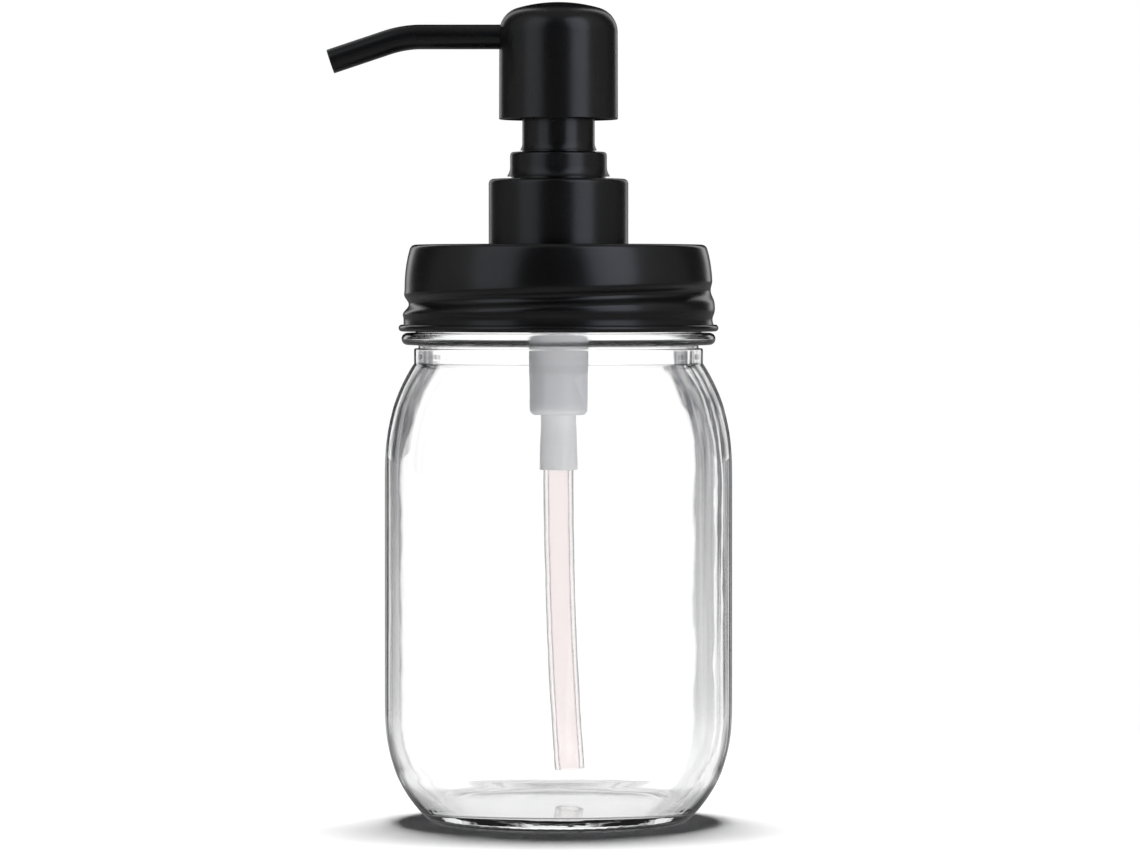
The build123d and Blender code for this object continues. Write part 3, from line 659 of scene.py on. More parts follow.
def jar_glass(jar, finishes):
    """Clear pressed glass with upright draw lines, a little frosted in its bead, and painted shade
    in grey bands that darken its colour where it is seen along its surface.

    It lets shadow rays through everywhere but at its thick base.
    """
    material, tree, output, place = new_material("jar_glass_clear")
    math, ramp = scalar_nodes(tree)
    height = height_of(tree, place)
    lines = noise(tree, stretched(tree, place, 0.03), 0.0024, 3)
    grey = glass_painted_shade(tree, place, lines, jar)
    bead_bottom, bead_top = bead_span(jar)
    frost, fade = 0.12, 0.0004
    into_bead = ramp(height, bead_bottom - fade, bead_bottom + fade / 2, 0.0, frost)
    out_of_bead = ramp(height, bead_top - fade / 2, bead_top + fade / 2, 1.0, 0.0)
    ripple = bump(tree, noise(tree, place, 0.014, 2), 0.00005)
    shader = add_node(
        tree,
        "ShaderNodeBsdfPrincipled",
        {
            # Painted shade: the colour turns to the glass's dark edge colour in the grey bands and
            # rim.
            "Base Color": blend_colours(tree, grey, finishes.glass_colour, finishes.glass_edge_painted_shade),
            "Roughness": math("MULTIPLY", into_bead, out_of_bead),
            "IOR": 1.5,
            "Transmission Weight": 1.0,
            "Normal": bump(tree, lines, 0.000006, ripple),
        },
    )
    above_base, base_light, wall_light = (0.028, 0.085), 0.01, 0.9
    passed = ramp(height, *above_base, base_light, wall_light)
    lets_through = add_node(tree, "ShaderNodeBsdfTransparent", {"Color": passed})
    shadow_ray = add_node(tree, "ShaderNodeLightPath").outputs["Is Shadow Ray"]
    glass, shadow = shader.outputs["BSDF"], lets_through.outputs["BSDF"]
    tree.links.new(mix_shaders(tree, shadow_ray, glass, shadow), output.inputs["Surface"])
    return material


def milky_plastic(name, base, roughness, clearness, edge_shade_level=0.7, edge=(0.35, 0.85), thin=None):
    """Translucent moulded plastic with faint flow marks, and painted shade that darkens its colour
    where it is seen along its surface.

    thin is the height, the colour and the painted rim shade of a part that is paler and lets
    nothing through, from that height down.
    """
    material, tree, output, place = new_material(name)
    flow = noise(tree, place, 0.004, 3)
    # Painted shade: the colour darkens where the surface is seen along itself.
    rim = mapped(tree, facing_of(tree), *edge)
    shown = blend_colours(tree, rim, base, scaled(base, edge_shade_level))
    if thin:
        top, thin_colour, thin_rim = thin
        fade = 0.004
        below = mapped(tree, height_of(tree, place), top, top - fade)
        shown = blend_colours(tree, below, shown, blend_colours(tree, rim, thin_colour, thin_rim))
        clearness = mapped(tree, below, 0.0, 1.0, clearness, 0.0)
    give_surface(
        tree,
        output,
        {
            "Base Color": shown,
            "Roughness": spread(tree, flow, roughness - 0.03, roughness + 0.03),
            "IOR": 1.49,
            "Transmission Weight": clearness,
            "Subsurface Weight": 0.5,
            "Subsurface Radius": (0.003, 0.003, 0.003),
            "Subsurface Scale": 1.0,
            "Normal": bump(tree, noise(tree, place, 0.0006, 2), 0.00001),
        },
    )
    return material


def soft_rubber(base):
    """Matt silicone rubber with a fine tooth."""
    material, tree, output, place = new_material("seal_silicone")
    tooth = noise(tree, place, 0.0003, 4)
    give_surface(
        tree,
        output,
        {
            "Base Color": blend_colours(tree, tooth, scaled(base, 0.94), scaled(base, 1.04)),
            "Roughness": spread(tree, tooth, 0.55, 0.68),
            "Normal": bump(tree, tooth, 0.00002),
            "Sheen Weight": 0.1,
        },
    )
    return material


def bare_steel(name, base, roughness, streak):
    """Stainless steel with fine lines, which are streak times as long upwards as they are wide."""
    material, tree, output, place = new_material(name)
    lines = noise(tree, stretched(tree, place, 1 / streak), 0.0004, 3)
    give_surface(
        tree,
        output,
        {
            "Base Color": blend_colours(tree, lines, scaled(base, 0.9), scaled(base, 1.08)),
            "Metallic": 1.0,
            "Roughness": spread(tree, lines, roughness - 0.05, roughness + 0.08),
            "Normal": bump(tree, lines, 0.000004),
        },
    )
    return material


def finish_nodes(material, *names):
    """Gives CAD nodes that keep their meshes a better material."""
    for name in names:
        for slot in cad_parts[name].material_slots:
            slot.material = material


# -------------------------------------------------------------------------------------------------
# Glass jar
# -------------------------------------------------------------------------------------------------


# Waves in the wall: their strength, number round the jar, radians a metre upwards, and start.
WALL_WAVES = ((0.50, 3, 12, 0.6), (0.28, 7, -21, 1.9), (0.14, 15, 34, 4.2), (0.08, 23, -55, 2.7))


def jar_outline(jar):
    """Section of the glass, from the underside's centre up the outside and down the inside."""
    edge = jar.edge_round
    inner_radius = jar.radius - jar.wall
    ring_outer = jar.foot_radius - jar.foot_bevel
    ring_inner = ring_outer - jar.ring_width
    collar_top = jar.shoulder_top + jar.collar_height
    bead_bottom, bead_top = bead_span(jar)
    groove_radius = jar.neck_radius - jar.groove
    bead_round = jar.bead_height * 0.48  # just under half, so that the two roundings don't meet
    fine, coarse = 0.0004, 0.0014
    foot, heel_top = (jar.foot_radius, jar.foot_rise), (jar.radius, jar.heel_height)
    floor_edge = (jar.foot_radius - jar.floor_inset, jar.floor)
    floor_centre = (0, jar.floor + jar.floor_crown)
    inner_heel_top = (inner_radius, jar.heel_height)
    inner_shoulder = ((inner_radius, jar.shoulder_start), (jar.mouth_radius, jar.shoulder_top))
    outside = [
        *tangent_arc((0, jar.hollow), (ring_inner, 0), (1, 0), 12)[:-1],
        (ring_inner, 0, edge),
        (ring_outer, 0, edge),
        *tangent_arc(heel_top, foot, (0, -1))[::-1],
        *tangent_arc(
            (jar.radius, jar.shoulder_start), (jar.neck_radius, jar.shoulder_top), (0, 1)
        )[:-1],
        (jar.neck_radius, jar.shoulder_top, edge),
        (jar.neck_radius, collar_top, edge),
        (groove_radius, collar_top, edge / 2),
        (groove_radius, bead_bottom, edge / 2),
        (jar.bead_radius, bead_bottom, bead_round),
        (jar.bead_radius, bead_top, bead_round),
        (jar.finish_radius, bead_top, edge),
        (jar.finish_radius, jar.height, jar.rim_round),
    ]
    inside = [
        (jar.mouth_radius, jar.height, jar.rim_round),
        *tangent_arc(*inner_shoulder, (0, 1))[::-1],
        *tangent_arc(inner_heel_top, floor_edge, (0, -1))[:-1],
        *tangent_arc(floor_centre, floor_edge, (1, 0), 14)[::-1],
    ]

    def step(height):
        return fine if height > bead_top else coarse

    outline = divided(rounded(outside + inside), step)
    for middle in (jar.heel_height, jar.shoulder_start):
        outline = eased(outline, middle - jar.easing, middle + jar.easing)
    return outline


def make_jar(jar, cap, finishes):
    """The jar, with its screw thread, wavy inner wall, mould seams and stippled foot."""
    outline = jar_outline(jar)
    rim_ring = int(np.argmax([point[1] for point in outline])) - 1
    rings = np.arange(len(outline) - 2)[:, None]
    outside = rings <= rim_ring
    bead_top = bead_span(jar)[1]
    thread_level = CAP_LOW.z + cap.thread_height
    wave_foot, wave_top = (0.007, 0.02), (jar.height - 0.022, jar.shoulder_top - 0.014)
    wave_front, wave_outside = 0.05, 0.15  # shares of the waves at front and back, and outside
    seam_width, seam_foot = 0.024, (0.004, 0.008)
    stipple_inset, stipple_width, stipple_top = 0.0002, 0.003, 0.003

    def shape(radius, height, angle):
        finish = (height > bead_top) & (height < jar.height - jar.rim_round)
        thread = screw_thread(height, angle, thread_level, cap, jar.thread_width)
        wave = sum(
            strength * np.sin(count * angle + climb * height + start)
            for strength, count, climb, start in WALL_WAVES
        )
        body = smooth(*wave_foot, height) * smooth(*wave_top, height)
        body *= wave_front + (1 - wave_front) * np.cos(angle) ** 4
        seam = hump(np.sin(angle), seam_width) * smooth(*seam_foot, height)
        from_stipple = radius - jar.foot_radius + stipple_inset
        on_foot = hump(from_stipple, stipple_width) * (height < stipple_top)
        marks = 0.5 + 0.5 * np.cos(jar.stipple_count * angle)
        change = np.where(
            outside,
            jar.thread_depth * thread * finish
            + jar.seam * seam * (height < jar.shoulder_top)
            + jar.stipple * on_foot * marks
            + wave_outside * jar.wave * wave * body,
            jar.wave * wave * body,
        )
        return radius + change

    mesh = turned_mesh("glass_jar_body", outline, 216, shape)
    add_piece(mesh, jar_glass(jar, finishes), "jar", "jar_glass", "glass_jar")


# -------------------------------------------------------------------------------------------------
# Screw cap
# -------------------------------------------------------------------------------------------------


def cap_centreline(cap):
    """Middle of the sheet, from the hole over the corner and down the skirt to the curl's end."""
    half = cap.sheet / 2
    skirt, top = cap.top_radius - half, CAP_HIGH.z - half
    flare = (skirt + cap.flare, CAP_LOW.z + cap.flare_height)
    belly = (skirt + cap.belly, CAP_LOW.z + cap.belly_height)
    neck = (skirt + cap.neck, CAP_LOW.z + cap.neck_height)
    curl = cap.curl_radius - half
    curl_centre = (neck[0] + curl, CAP_LOW.z + cap.curl_radius)
    corner_points, curl_points, step = 6, 18, 0.0005
    taper = tangent_arc(flare, (skirt, top), (0, 1))[::-1]
    # The rounded corner takes the place of the taper's first points.
    below_corner = taper[corner_points:]
    upper = rounded([(cap.hole_radius + half, top), (skirt, top, cap.corner), *below_corner])
    lower = [*s_curve(flare, belly), *s_curve(belly, neck), (neck[0], curl_centre[1])]
    angles = pi + np.linspace(0, cap.curl_turn, curl_points)[1:]
    hem = [(curl_centre[0] + curl * cos(a), curl_centre[1] + curl * sin(a)) for a in angles]
    return divided([np.array(p, float) for p in [*upper, *lower, *hem]], lambda height: step)


def sheet_outline(centreline, thickness):
    """Closed outline of a sheet, with rounded edges, round its centreline."""
    line = np.array(centreline)
    along = np.gradient(line, axis=0)
    along /= np.linalg.norm(along, axis=1)[:, None]
    across = np.stack((-along[:, 1], along[:, 0]), axis=1) * thickness / 2
    outer, inner = line + across, line - across
    lips = []
    for index, sign in ((-1, 1), (0, -1)):
        spokes = [
            across[index] * cos(a) * sign + along[index] * sin(a) * sign * thickness / 2
            for a in np.linspace(0, pi, 6)[1:-1]
        ]
        lips.append([line[index] + spoke for spoke in spokes])
    loop = [*outer, *lips[0], *inner[::-1], *lips[1]]
    return loop[::-1]


def make_cap(cap, finishes):
    """The cap, with its rolled thread and curled hem."""
    skirt_limit = cap.top_radius - cap.sheet - cap.corner
    # The cap is rolled inwards between the turns of the jar's thread.
    thread_level = CAP_LOW.z + cap.thread_height - cap.pitch / 2
    hem_fade = (CAP_LOW.z + 0.0014, CAP_LOW.z + 0.0026)

    def shape(radius, height, angle):
        thread = screw_thread(height, angle, thread_level, cap, cap.thread_width)
        above_hem = smooth(*hem_fade, height)
        return radius - cap.thread_depth * thread * above_hem * (radius > skirt_limit)

    outline = sheet_outline(cap_centreline(cap), cap.sheet)
    mesh = turned_mesh("screw_cap_rolled", outline, 240, shape)
    coat = black_finish(
        "cap_black_satin",
        finishes.coat_colour,
        finishes.coat_roughness - finishes.cap_gloss,
        finishes.coat_grain,
        depth=0.000003,
    )
    add_piece(mesh, coat, "lid", "cap_black", "screw_cap")


# -------------------------------------------------------------------------------------------------
# Spout
# -------------------------------------------------------------------------------------------------


def make_spout(pump, coat):
    """The bent tube, with a rounded lip at its open end."""
    start = np.array((SPOUT_HIGH.x, SPOUT_HIGH.z - (SPOUT_HIGH.y - SPOUT_LOW.y) / 2))
    radius = (SPOUT_HIGH.y - SPOUT_LOW.y) / 2
    corner = np.array((-pump.spout_corner, start[1]))
    tangent_reach = pump.spout_bend * tan(pump.spout_droop / 2)
    level_run = start[0] - corner[0] - tangent_reach
    bend_run = pump.spout_bend * pump.spout_droop
    end_direction = np.array((-cos(pump.spout_droop), -sin(pump.spout_droop)))
    tip_x = SPOUT_LOW.x + radius * sin(pump.spout_droop)
    last_run = (corner[0] - tip_x) / cos(pump.spout_droop) - tangent_reach
    total = level_run + bend_run + last_run

    def place(across, along, angle):
        bent = np.clip((along - level_run) / bend_run, 0, 1) * pump.spout_droop
        x = start[0] - np.minimum(along, level_run) - pump.spout_bend * np.sin(bent)
        z = start[1] - pump.spout_bend * (1 - np.cos(bent))
        beyond = np.maximum(along - level_run - bend_run, 0)
        x, z = x + beyond * end_direction[0], z + beyond * end_direction[1]
        upwards, sideways = across * np.sin(angle), across * np.cos(angle)
        return x - upwards * np.sin(bent), -sideways, z + upwards * np.cos(bent)

    bore, step = radius - pump.spout_wall, 0.0008
    open_end = [(radius, total, pump.spout_lip), (bore, total, pump.spout_lip)]
    outline = divided(rounded([(radius, 0), *open_end, (bore, 0)]), lambda along: step)
    mesh = turned_mesh("spout_bent_tube", outline, 72, place=place)
    add_piece(mesh, coat, "head", "black_powder_coat", "spout_tube")


# -------------------------------------------------------------------------------------------------
# Spring and closure threads, one node tree for all of them
# -------------------------------------------------------------------------------------------------


def coil_tree():
    """Node tree of a round wire wound about the vertical axis, with closed turns at both ends."""
    tree = bpy.data.node_groups.new("wound_wire", "GeometryNodeTree")
    tree.is_modifier = True
    sizes = ["Radius", "Bottom", "Top", "Turns", "Closed Turns", "Closed Pitch"]
    sizes += ["Wire Radius", "Taper"]
    kinds = dict.fromkeys(sizes, "NodeSocketFloat")
    kinds |= {"Steps": "NodeSocketInt", "Material": "NodeSocketMaterial"}
    for name, kind in kinds.items():
        tree.interface.new_socket(name, in_out="INPUT", socket_type=kind)
    tree.interface.new_socket("Geometry", in_out="OUTPUT", socket_type="NodeSocketGeometry")
    given = add_node(tree, "NodeGroupInput").outputs
    math = scalar_nodes(tree)[0]
    blunt_end, section_sides = 0.02, 14
    point_count = math("ADD", math("MULTIPLY", given["Turns"], given["Steps"]), 1.0)
    line = add_node(tree, "GeometryNodeMeshLine", {"Count": point_count})
    index = add_node(tree, "GeometryNodeInputIndex").outputs["Index"]
    laps = math("DIVIDE", index, given["Steps"])
    angle = math("MULTIPLY", laps, 2 * pi)
    open_turns = math("SUBTRACT", given["Turns"], math("MULTIPLY", given["Closed Turns"], 2.0))
    closed_rise = math("MULTIPLY", given["Closed Turns"], given["Closed Pitch"])
    open_rise = math(
        "SUBTRACT",
        math("SUBTRACT", given["Top"], given["Bottom"]),
        math("MULTIPLY", closed_rise, 2.0),
    )
    open_laps = math("SUBTRACT", laps, given["Closed Turns"])
    open_laps = math("MINIMUM", math("MAXIMUM", open_laps, 0.0), open_turns)
    closed_laps = math("SUBTRACT", laps, open_laps)
    rise = math(
        "ADD",
        math("MULTIPLY", closed_laps, given["Closed Pitch"]),
        math("MULTIPLY", open_laps, math("DIVIDE", open_rise, open_turns)),
    )
    position = add_node(
        tree,
        "ShaderNodeCombineXYZ",
        {
            "X": math("MULTIPLY", given["Radius"], math("COSINE", angle)),
            "Y": math("MULTIPLY", given["Radius"], math("SINE", angle)),
            "Z": math("ADD", given["Bottom"], rise),
        },
    ).outputs["Vector"]
    placed = add_node(
        tree,
        "GeometryNodeSetPosition",
        {"Geometry": line.outputs["Mesh"], "Position": position},
    )
    curve = add_node(tree, "GeometryNodeMeshToCurve", {"Mesh": placed.outputs["Geometry"]})
    to_end = math("MINIMUM", laps, math("SUBTRACT", given["Turns"], laps))
    tapered = math("DIVIDE", math("ADD", to_end, blunt_end), given["Taper"])
    thickness = math("MINIMUM", tapered, 1.0)
    sized = add_node(
        tree,
        "GeometryNodeSetCurveRadius",
        {"Curve": curve.outputs["Curve"], "Radius": thickness},
    )
    upright_normal = add_node(
        tree, "GeometryNodeSetCurveNormal", {"Curve": sized.outputs["Curve"]}, mode="Z_UP"
    )
    section = add_node(
        tree,
        "GeometryNodeCurvePrimitiveCircle",
        {"Resolution": section_sides, "Radius": given["Wire Radius"]},
    )
    wire = add_node(
        tree,
        "GeometryNodeCurveToMesh",
        {
            "Curve": upright_normal.outputs["Curve"],
            "Profile Curve": section.outputs["Curve"],
            "Scale": thickness,
            "Fill Caps": True,
        },
    )
    shaded = add_node(tree, "GeometryNodeSetShadeSmooth", {"Geometry": wire.outputs["Mesh"]})
    realized = add_node(
        tree, "GeometryNodeRealizeInstances", {"Geometry": shaded.outputs["Geometry"]}
    )
    painted = add_node(
        tree,
        "GeometryNodeSetMaterial",
        {"Geometry": realized.outputs["Geometry"], "Material": given["Material"]},
    )
    add_node(tree, "NodeGroupOutput", {"Geometry": painted.outputs["Geometry"]})
    return tree


def wound_mesh(name, **sizes):
    """Plain mesh that the coil tree makes with these inputs, and with 0 for any left out."""
    tree = bpy.data.node_groups.get("wound_wire") or coil_tree()
    holder = add_object(name, bpy.data.meshes.new(name))
    modifier = holder.modifiers.new("wound_wire", "NODES")
    modifier.node_group = tree
    identifiers = {item.name: item.identifier for item in tree.interface.items_tree}
    for key, value in sizes.items():
        modifier[identifiers[key.replace("_", " ").title()]] = value
    bpy.context.view_layer.update()
    evaluated = holder.evaluated_get(bpy.context.evaluated_depsgraph_get())
    mesh = bpy.data.meshes.new_from_object(evaluated)
    bpy.data.objects.remove(holder)
    mesh.name = name
    return mesh


def make_spring(pump, finishes):
    """The spring, with closed ends, on a body and with a mesh of its own."""
    wire = pump.spring_wire
    foot = CAGE_HIGH.z + wire
    top = SEAT_LOW.z + pump.seat_pilot - wire
    steel = bare_steel("spring_wire_steel", finishes.steel_colour, roughness=0.28, streak=0.2)
    mesh = wound_mesh(
        "return_coil",
        radius=pump.spring_radius,
        bottom=foot,
        top=top,
        turns=pump.spring_turns,
        closed_turns=pump.closed_turns,
        closed_pitch=2 * wire,
        wire_radius=wire,
        taper=0.01,
        steps=48,
        material=steel,
    )
    coil = add_piece(mesh, steel, "spring", "spring_steel", "return_spring")
    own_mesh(coil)


def make_closure_threads(pump, plastic):
    """The rounded threads of the adapter and of the closure's nut, a little sunk into them."""
    ridge = pump.closure_ridge
    sunk = ridge * 0.15
    rise = pump.closure_pitch * pump.closure_turns
    foot = ADAPTER_HIGH.z - pump.closure_drop - rise
    nut_foot = foot - pump.closure_pitch / 2
    nut_bore = HOUSING_HIGH.x + pump.closure_gap
    for name, radius, level, body in (
        ("adapter_thread", GASKET_HIGH.x - sunk, foot, "lid"),
        ("closure_nut_thread", nut_bore + sunk, nut_foot, "closure"),
    ):
        mesh = wound_mesh(
            name,
            radius=radius,
            bottom=level,
            top=level + rise,
            turns=pump.closure_turns,
            wire_radius=ridge,
            taper=0.12,
            steps=64,
            material=plastic,
        )
        add_piece(mesh, plastic, body, "black_plastic")


# -------------------------------------------------------------------------------------------------
# Stage
# -------------------------------------------------------------------------------------------------


# The surround seen through glass: white panels every 45 degrees, with grey strips between them.
# Lengths are shares of the half turn, and each wave has its rate, its start and its strength.
PANEL_SPACING, PANEL_HALF, PANEL_LEVEL = 0.125, 0.078, 1.12
STRIP_LEVEL, STRIP_WAVES = 0.5, ((217.0, 0.0, 0.18), (139.0, 1.0, 0.12))
# The surround in gloss, by shares of the half turn from straight behind, 0, to the camera, 1.
GLOSS_LEVELS = (
    (0.1, 0.0),
    (0.13, 1.5),
    (0.15, 1.5),
    (0.19, 0.02),
    (0.32, 0.06),
    (0.44, 0.26),
    (0.60, 0.4),
    (0.76, 0.38),
    (0.86, 0.04),
)
OVERHEAD_LEVEL = 0.25
# Widths and heights of the softboxes, and the cool white of the two beside the camera.
SIDE_BOX, FRONT_STRIP, TOP_BOX = (0.8, 1.6), (0.9, 0.05), (0.5, 0.28)
COOL_WHITE = (0.79, 0.85, 1.0)


def before_matt(tree, rays):
    """1 for a ray that has met no matt surface yet, and 0 for any other."""
    less = add_node(
        tree, "ShaderNodeMath", {0: rays["Diffuse Depth"], 1: 0.5}, operation="LESS_THAN"
    )
    return less.outputs[0]


def make_floor(stage):
    """White floor that keeps the shadow near the jar and is plain white further out.

    Glass and gloss show most of it plain white near the jar too.
    """
    material, tree, output, place = new_material("stage_white_floor")
    math, ramp = scalar_nodes(tree)
    plain_through, plain_mirrored = 0.7, 0.9
    brighter_through, dimmer_mirrored = 0.1, -0.8
    reach = add_node(
        tree, "ShaderNodeVectorMath", {0: place}, operation="LENGTH"
    ).outputs["Value"]
    away = ramp(reach, stage.shadow_start, stage.shadow_reach)
    rays = add_node(tree, "ShaderNodeLightPath").outputs
    through = math("MULTIPLY", rays["Is Transmission Ray"], before_matt(tree, rays))
    mirrored = math("SUBTRACT", rays["Is Glossy Ray"], rays["Is Transmission Ray"])
    seen = math("MAXIMUM", math("MAXIMUM", rays["Is Camera Ray"], through), mirrored)
    plain = math("MULTIPLY", seen, away)
    plain = math("MAXIMUM", plain, math("MULTIPLY", through, plain_through))
    plain = math("MAXIMUM", plain, math("MULTIPLY", mirrored, plain_mirrored))
    level = math("MULTIPLY_ADD", through, brighter_through, 1.0)
    level = math("MULTIPLY_ADD", mirrored, dimmer_mirrored, level)
    matt = add_node(tree, "ShaderNodeBsdfDiffuse", {"Color": (0.95, 0.95, 0.95, 1)})
    white = add_node(tree, "ShaderNodeEmission", {"Color": (1, 1, 1, 1), "Strength": level})
    shown = mix_shaders(tree, plain, matt.outputs["BSDF"], white.outputs["Emission"])
    tree.links.new(shown, output.inputs["Surface"])
    side = stage.floor_reach
    corners = [(-side, -side, 0), (side, -side, 0), (side, side, 0), (-side, side, 0)]
    mesh = bpy.data.meshes.new("stage_floor")
    mesh.from_pydata(corners, [], [(0, 1, 2, 3)])
    mesh.materials.append(material)
    floor = add_object("stage_floor", mesh)


def make_surround():
    """White surround, with grey strips between white panels for the glass to show at its edges."""
    world = bpy.data.worlds.new("stage_surround")
    bpy.context.scene.world = world
    world.use_nodes = True
    tree = world.node_tree
    tree.nodes.clear()
    math, ramp = scalar_nodes(tree)
    direction = add_node(tree, "ShaderNodeTexCoord").outputs["Generated"]
    parts = add_node(tree, "ShaderNodeSeparateXYZ", {"Vector": direction}).outputs
    upwards = parts["Z"]
    rays = add_node(tree, "ShaderNodeLightPath").outputs
    first = before_matt(tree, rays)

    def background(strength):
        inputs = {"Color": (1, 1, 1, 1), "Strength": strength}
        return add_node(tree, "ShaderNodeBackground", inputs).outputs["Background"]

    # Share of the half turn from straight behind, 0, to the camera, 1.
    round_share = math(
        "DIVIDE", math("ABSOLUTE", math("ARCTAN2", parts["X"], parts["Y"])), pi
    )
    apart = math("PINGPONG", round_share, PANEL_SPACING)
    strips = STRIP_LEVEL
    for rate, start, strength in STRIP_WAVES:
        wave = math("COSINE", math("MULTIPLY_ADD", apart, rate, start))
        strips = math("MULTIPLY_ADD", wave, strength, strips)
    panels = math("MULTIPLY", math("LESS_THAN", apart, PANEL_HALF), PANEL_LEVEL)
    banded = math("MULTIPLY", math("MAXIMUM", panels, strips), first)
    # What light comes through the glass to a matt surface, most of it from low down.
    after_matt = math(
        "MULTIPLY", ramp(upwards, 0.05, 0.4, 0.95, 0.05), math("SUBTRACT", 1.0, first)
    )
    levels = add_node(tree, "ShaderNodeValToRGB", {"Fac": round_share})
    levels.color_ramp.interpolation = "EASE"
    stops = levels.color_ramp.elements
    while len(stops) < len(GLOSS_LEVELS):
        stops.new(0.5)
    for stop, (position, level) in zip(stops, GLOSS_LEVELS):
        stop.position = position
        stop.color = (level, level, level, 1)
    gloss = math("MULTIPLY", levels.outputs["Color"], ramp(upwards, 0.25, 0.9, 1.0, 1.3))
    overhead = ramp(upwards, 0.7, 0.97)
    gloss = math("MULTIPLY_ADD", overhead, math("SUBTRACT", OVERHEAD_LEVEL, gloss), gloss)
    # Matt surfaces get light from near the horizon only.
    shader = background(ramp(upwards, 0.02, 0.12, 0.6, 0.0))
    for ray, strength in (
        ("Is Glossy Ray", gloss),
        ("Is Transmission Ray", math("ADD", banded, after_matt)),
        ("Is Camera Ray", 1.0),
    ):
        shader = mix_shaders(tree, rays[ray], shader, background(strength))
    add_node(tree, "ShaderNodeOutputWorld", {"Surface": shader})


def add_softbox(name, place, target, size, power, mirrored):
    """Area light at place that faces target, which only gloss shows, or only matt surfaces."""
    light = bpy.data.lights.new(name, "AREA")
    light.shape = "RECTANGLE"
    light.size, light.size_y = size
    light.energy = power
    if mirrored:
        light.color = COOL_WHITE
    lamp = add_object(name, light)
    lamp.location = place
    lamp.visible_glossy = mirrored
    lamp.visible_diffuse = not mirrored
    lamp.visible_transmission = False
    facing = np.array(target) - np.array(place)
    lamp.rotation_euler = (
        atan2(np.hypot(facing[0], facing[1]), -facing[2]),
        0,
        atan2(facing[1], facing[0]) - pi / 2,
    )


def make_lights(stage):
    """Two upright softboxes beside the camera, a low strip in front and a softbox overhead.

    Only gloss shows the first two, and only matt surfaces the others.
    """
    foot, middle = (0, 0, 0), (0, 0, 0.13)
    for name, side, power in (
        ("softbox_left", -stage.left_turn, stage.box_power * stage.left_share),
        ("softbox_right", stage.right_turn, stage.box_power),
    ):
        along, across = stage.box_distance * cos(side), stage.box_distance * sin(side)
        add_softbox(name, (across, -along, stage.box_height), middle, SIDE_BOX, power, True)
    front, overhead = (0.6, -1.2, 0.03), (0, stage.top_back, stage.top_height)
    add_softbox("softbox_front", front, middle, FRONT_STRIP, stage.fill_power, False)
    add_softbox("softbox_top", overhead, foot, TOP_BOX, stage.top_power, False)


def make_camera(stage):
    """Camera in front of the dispenser, a little above its middle."""
    camera = add_object("camera", bpy.data.cameras.new("camera"))
    camera.data.lens = stage.focal_length
    camera.data.clip_start, camera.data.clip_end = 0.01, 50.0
    camera.location = (stage.camera_side, -stage.camera_distance, stage.camera_height)
    camera.rotation_euler = (pi / 2 - stage.camera_tilt, 0, 0)
    bpy.context.scene.camera = camera


# -------------------------------------------------------------------------------------------------
# Operators and panel
# -------------------------------------------------------------------------------------------------


class DISPENSER_OT_jar(bpy.types.Operator):
    """Make the glass jar"""

    bl_idname = "dispenser.jar"
    bl_label = "Glass Jar"

    def execute(self, context):
        scene = context.scene
        make_jar(scene.dispenser_jar, scene.dispenser_cap, scene.dispenser_finishes)
        return {"FINISHED"}


class DISPENSER_OT_cap(bpy.types.Operator):
    """Make the rolled screw cap"""

    bl_idname = "dispenser.cap"
    bl_label = "Screw Cap"

    def execute(self, context):
        make_cap(context.scene.dispenser_cap, context.scene.dispenser_finishes)
        return {"FINISHED"}


class DISPENSER_OT_metal(bpy.types.Operator):
    """Coat the head and the closure, and make the spout"""

    bl_idname = "dispenser.metal"
    bl_label = "Coated Metal"

    def execute(self, context):
        finishes = context.scene.dispenser_finishes
        coat = black_finish(
            "powder_coat_black",
            finishes.coat_colour,
            finishes.coat_roughness,
            finishes.coat_grain,
            depth=0.000004,
        )
        finish_nodes(coat, "head_shell", "closure_shell")
        make_spout(context.scene.dispenser_pump, coat)
        return {"FINISHED"}


class DISPENSER_OT_plastic(bpy.types.Operator):
    """Finish the black plastic pieces, and make the closure's threads"""

    bl_idname = "dispenser.plastic"
    bl_label = "Black Plastic"

    def execute(self, context):
        finishes = context.scene.dispenser_finishes
        plastic = black_finish(
            "moulded_black_plastic",
            finishes.plastic_colour,
            finishes.plastic_roughness,
            grain=0.0003,
            depth=0.000002,
        )
        finish_nodes(plastic, "chaplet", "stem_bushing", "head_core")
        finish_nodes(plastic, "closure_nut", "neck_adapter")
        make_closure_threads(context.scene.dispenser_pump, plastic)
        return {"FINISHED"}


class DISPENSER_OT_pump_body(bpy.types.Operator):
    """Finish the translucent pump body, its tube, piston and seals"""

    bl_idname = "dispenser.pump_body"
    bl_label = "Pump Body"

    def execute(self, context):
        finishes = context.scene.dispenser_finishes
        body = milky_plastic(
            "pump_body_natural",
            finishes.natural_colour,
            roughness=0.38,
            clearness=0.12,
            edge_shade_level=0.8,
            thin=(finishes.socket_top, finishes.socket_colour, finishes.socket_rim_shade),
        )
        tube = milky_plastic(
            "dip_tube_clear",
            finishes.tube_colour,
            roughness=0.1,
            clearness=1.0,
            # The tube's painted shade at its edges is strong.
            edge_shade_level=0.05,
            edge=(0.45, 0.68),
        )
        white = milky_plastic(
            "soft_white_plastic", finishes.piston_colour, roughness=0.45, clearness=0.05
        )
        rubber = soft_rubber(finishes.rubber_colour)
        steel = bare_steel("inlet_ball_steel", finishes.steel_colour, roughness=0.12, streak=1.0)
        finish_nodes(body, "pump_housing")
        finish_nodes(tube, "dip_tube")
        finish_nodes(white, "ball_cage", "piston", "piston_seat", "stem")
        finish_nodes(rubber, "cap_liner", "adapter_washer", "pump_gasket")
        finish_nodes(steel, "inlet_ball")
        return {"FINISHED"}


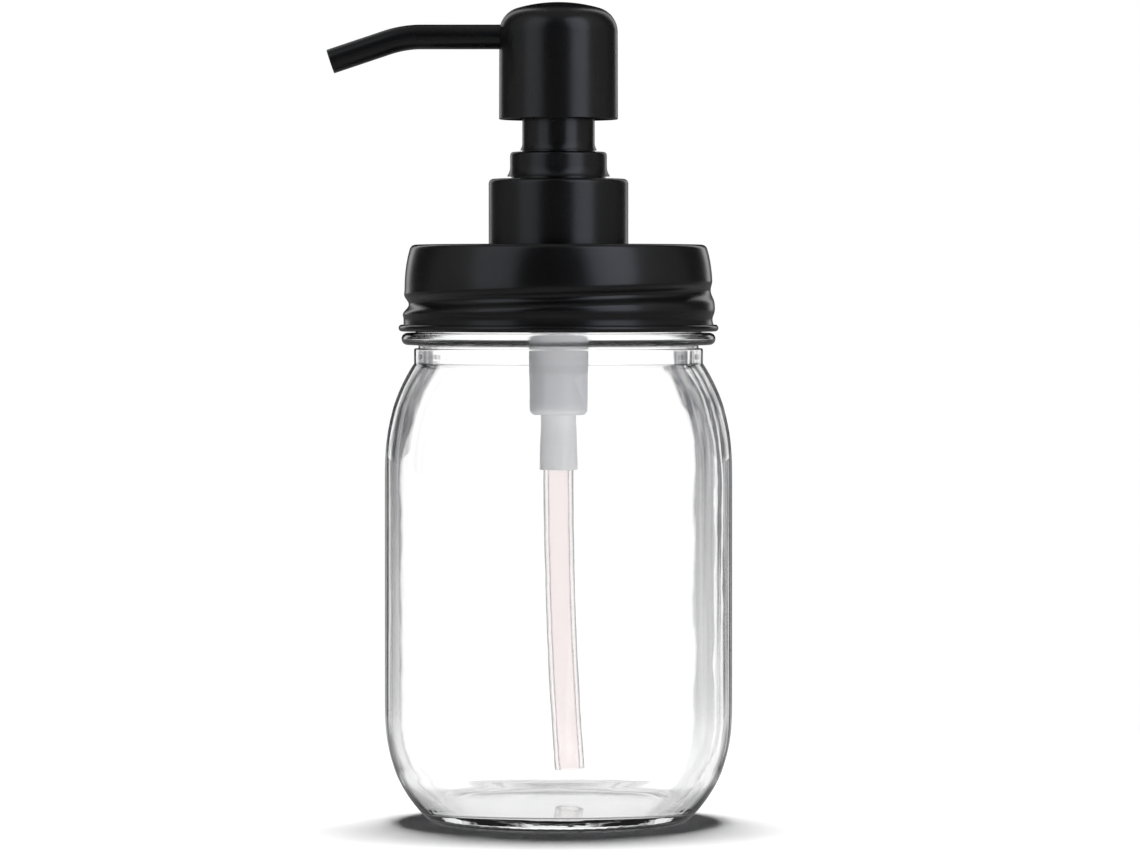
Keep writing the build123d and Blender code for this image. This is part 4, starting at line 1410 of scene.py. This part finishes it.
class DISPENSER_OT_spring(bpy.types.Operator):
    """Wind the return spring"""

    bl_idname = "dispenser.spring"
    bl_label = "Return Spring"

    def execute(self, context):
        make_spring(context.scene.dispenser_pump, context.scene.dispenser_finishes)
        return {"FINISHED"}


class DISPENSER_OT_stage(bpy.types.Operator):
    """Set up the floor, surround, lights and camera"""

    bl_idname = "dispenser.stage"
    bl_label = "Stage"

    def execute(self, context):
        stage = context.scene.dispenser_stage
        make_floor(stage)
        make_surround()
        make_lights(stage)
        make_camera(stage)
        context.scene.view_settings.view_transform = "Standard"
        return {"FINISHED"}


PIECE_OPERATORS = (
    DISPENSER_OT_jar,
    DISPENSER_OT_cap,
    DISPENSER_OT_metal,
    DISPENSER_OT_plastic,
    DISPENSER_OT_pump_body,
    DISPENSER_OT_spring,
    DISPENSER_OT_stage,
)
SETTINGS = {
    "dispenser_jar": JarSizes,
    "dispenser_cap": CapSizes,
    "dispenser_pump": PumpSizes,
    "dispenser_finishes": Finishes,
    "dispenser_stage": StageSizes,
}


class DISPENSER_PT_panel(bpy.types.Panel):
    """Sizes, colours and steps of the dispenser"""

    bl_idname = "DISPENSER_PT_panel"
    bl_label = "Soap Pump Dispenser"
    bl_space_type = "VIEW_3D"
    bl_region_type = "UI"
    bl_category = "Dispenser"

    def draw(self, context):
        for operator in PIECE_OPERATORS:
            self.layout.operator(operator.bl_idname)
        for name, group in SETTINGS.items():
            box = self.layout.box()
            box.label(text=group.__doc__)
            for value in group.__annotations__:
                box.prop(getattr(context.scene, name), value)


def register():
    """Registers the sizes, the operators and the panel."""
    for group in SETTINGS.values():
        bpy.utils.register_class(group)
    for name, group in SETTINGS.items():
        setattr(bpy.types.Scene, name, PointerProperty(type=group))
    for operator in PIECE_OPERATORS:
        bpy.utils.register_class(operator)
    bpy.utils.register_class(DISPENSER_PT_panel)


def unregister():
    """Undoes what register does."""
    bpy.utils.unregister_class(DISPENSER_PT_panel)
    for operator in reversed(PIECE_OPERATORS):
        bpy.utils.unregister_class(operator)
    for name in SETTINGS:
        delattr(bpy.types.Scene, name)
    for group in SETTINGS.values():
        bpy.utils.unregister_class(group)


def main():
    """Makes every piece and the stage."""
    register()
    for operator in PIECE_OPERATORS:
        group, step = operator.bl_idname.split(".")
        getattr(getattr(bpy.ops, group), step)()


if __name__ == "__main__":
    main()
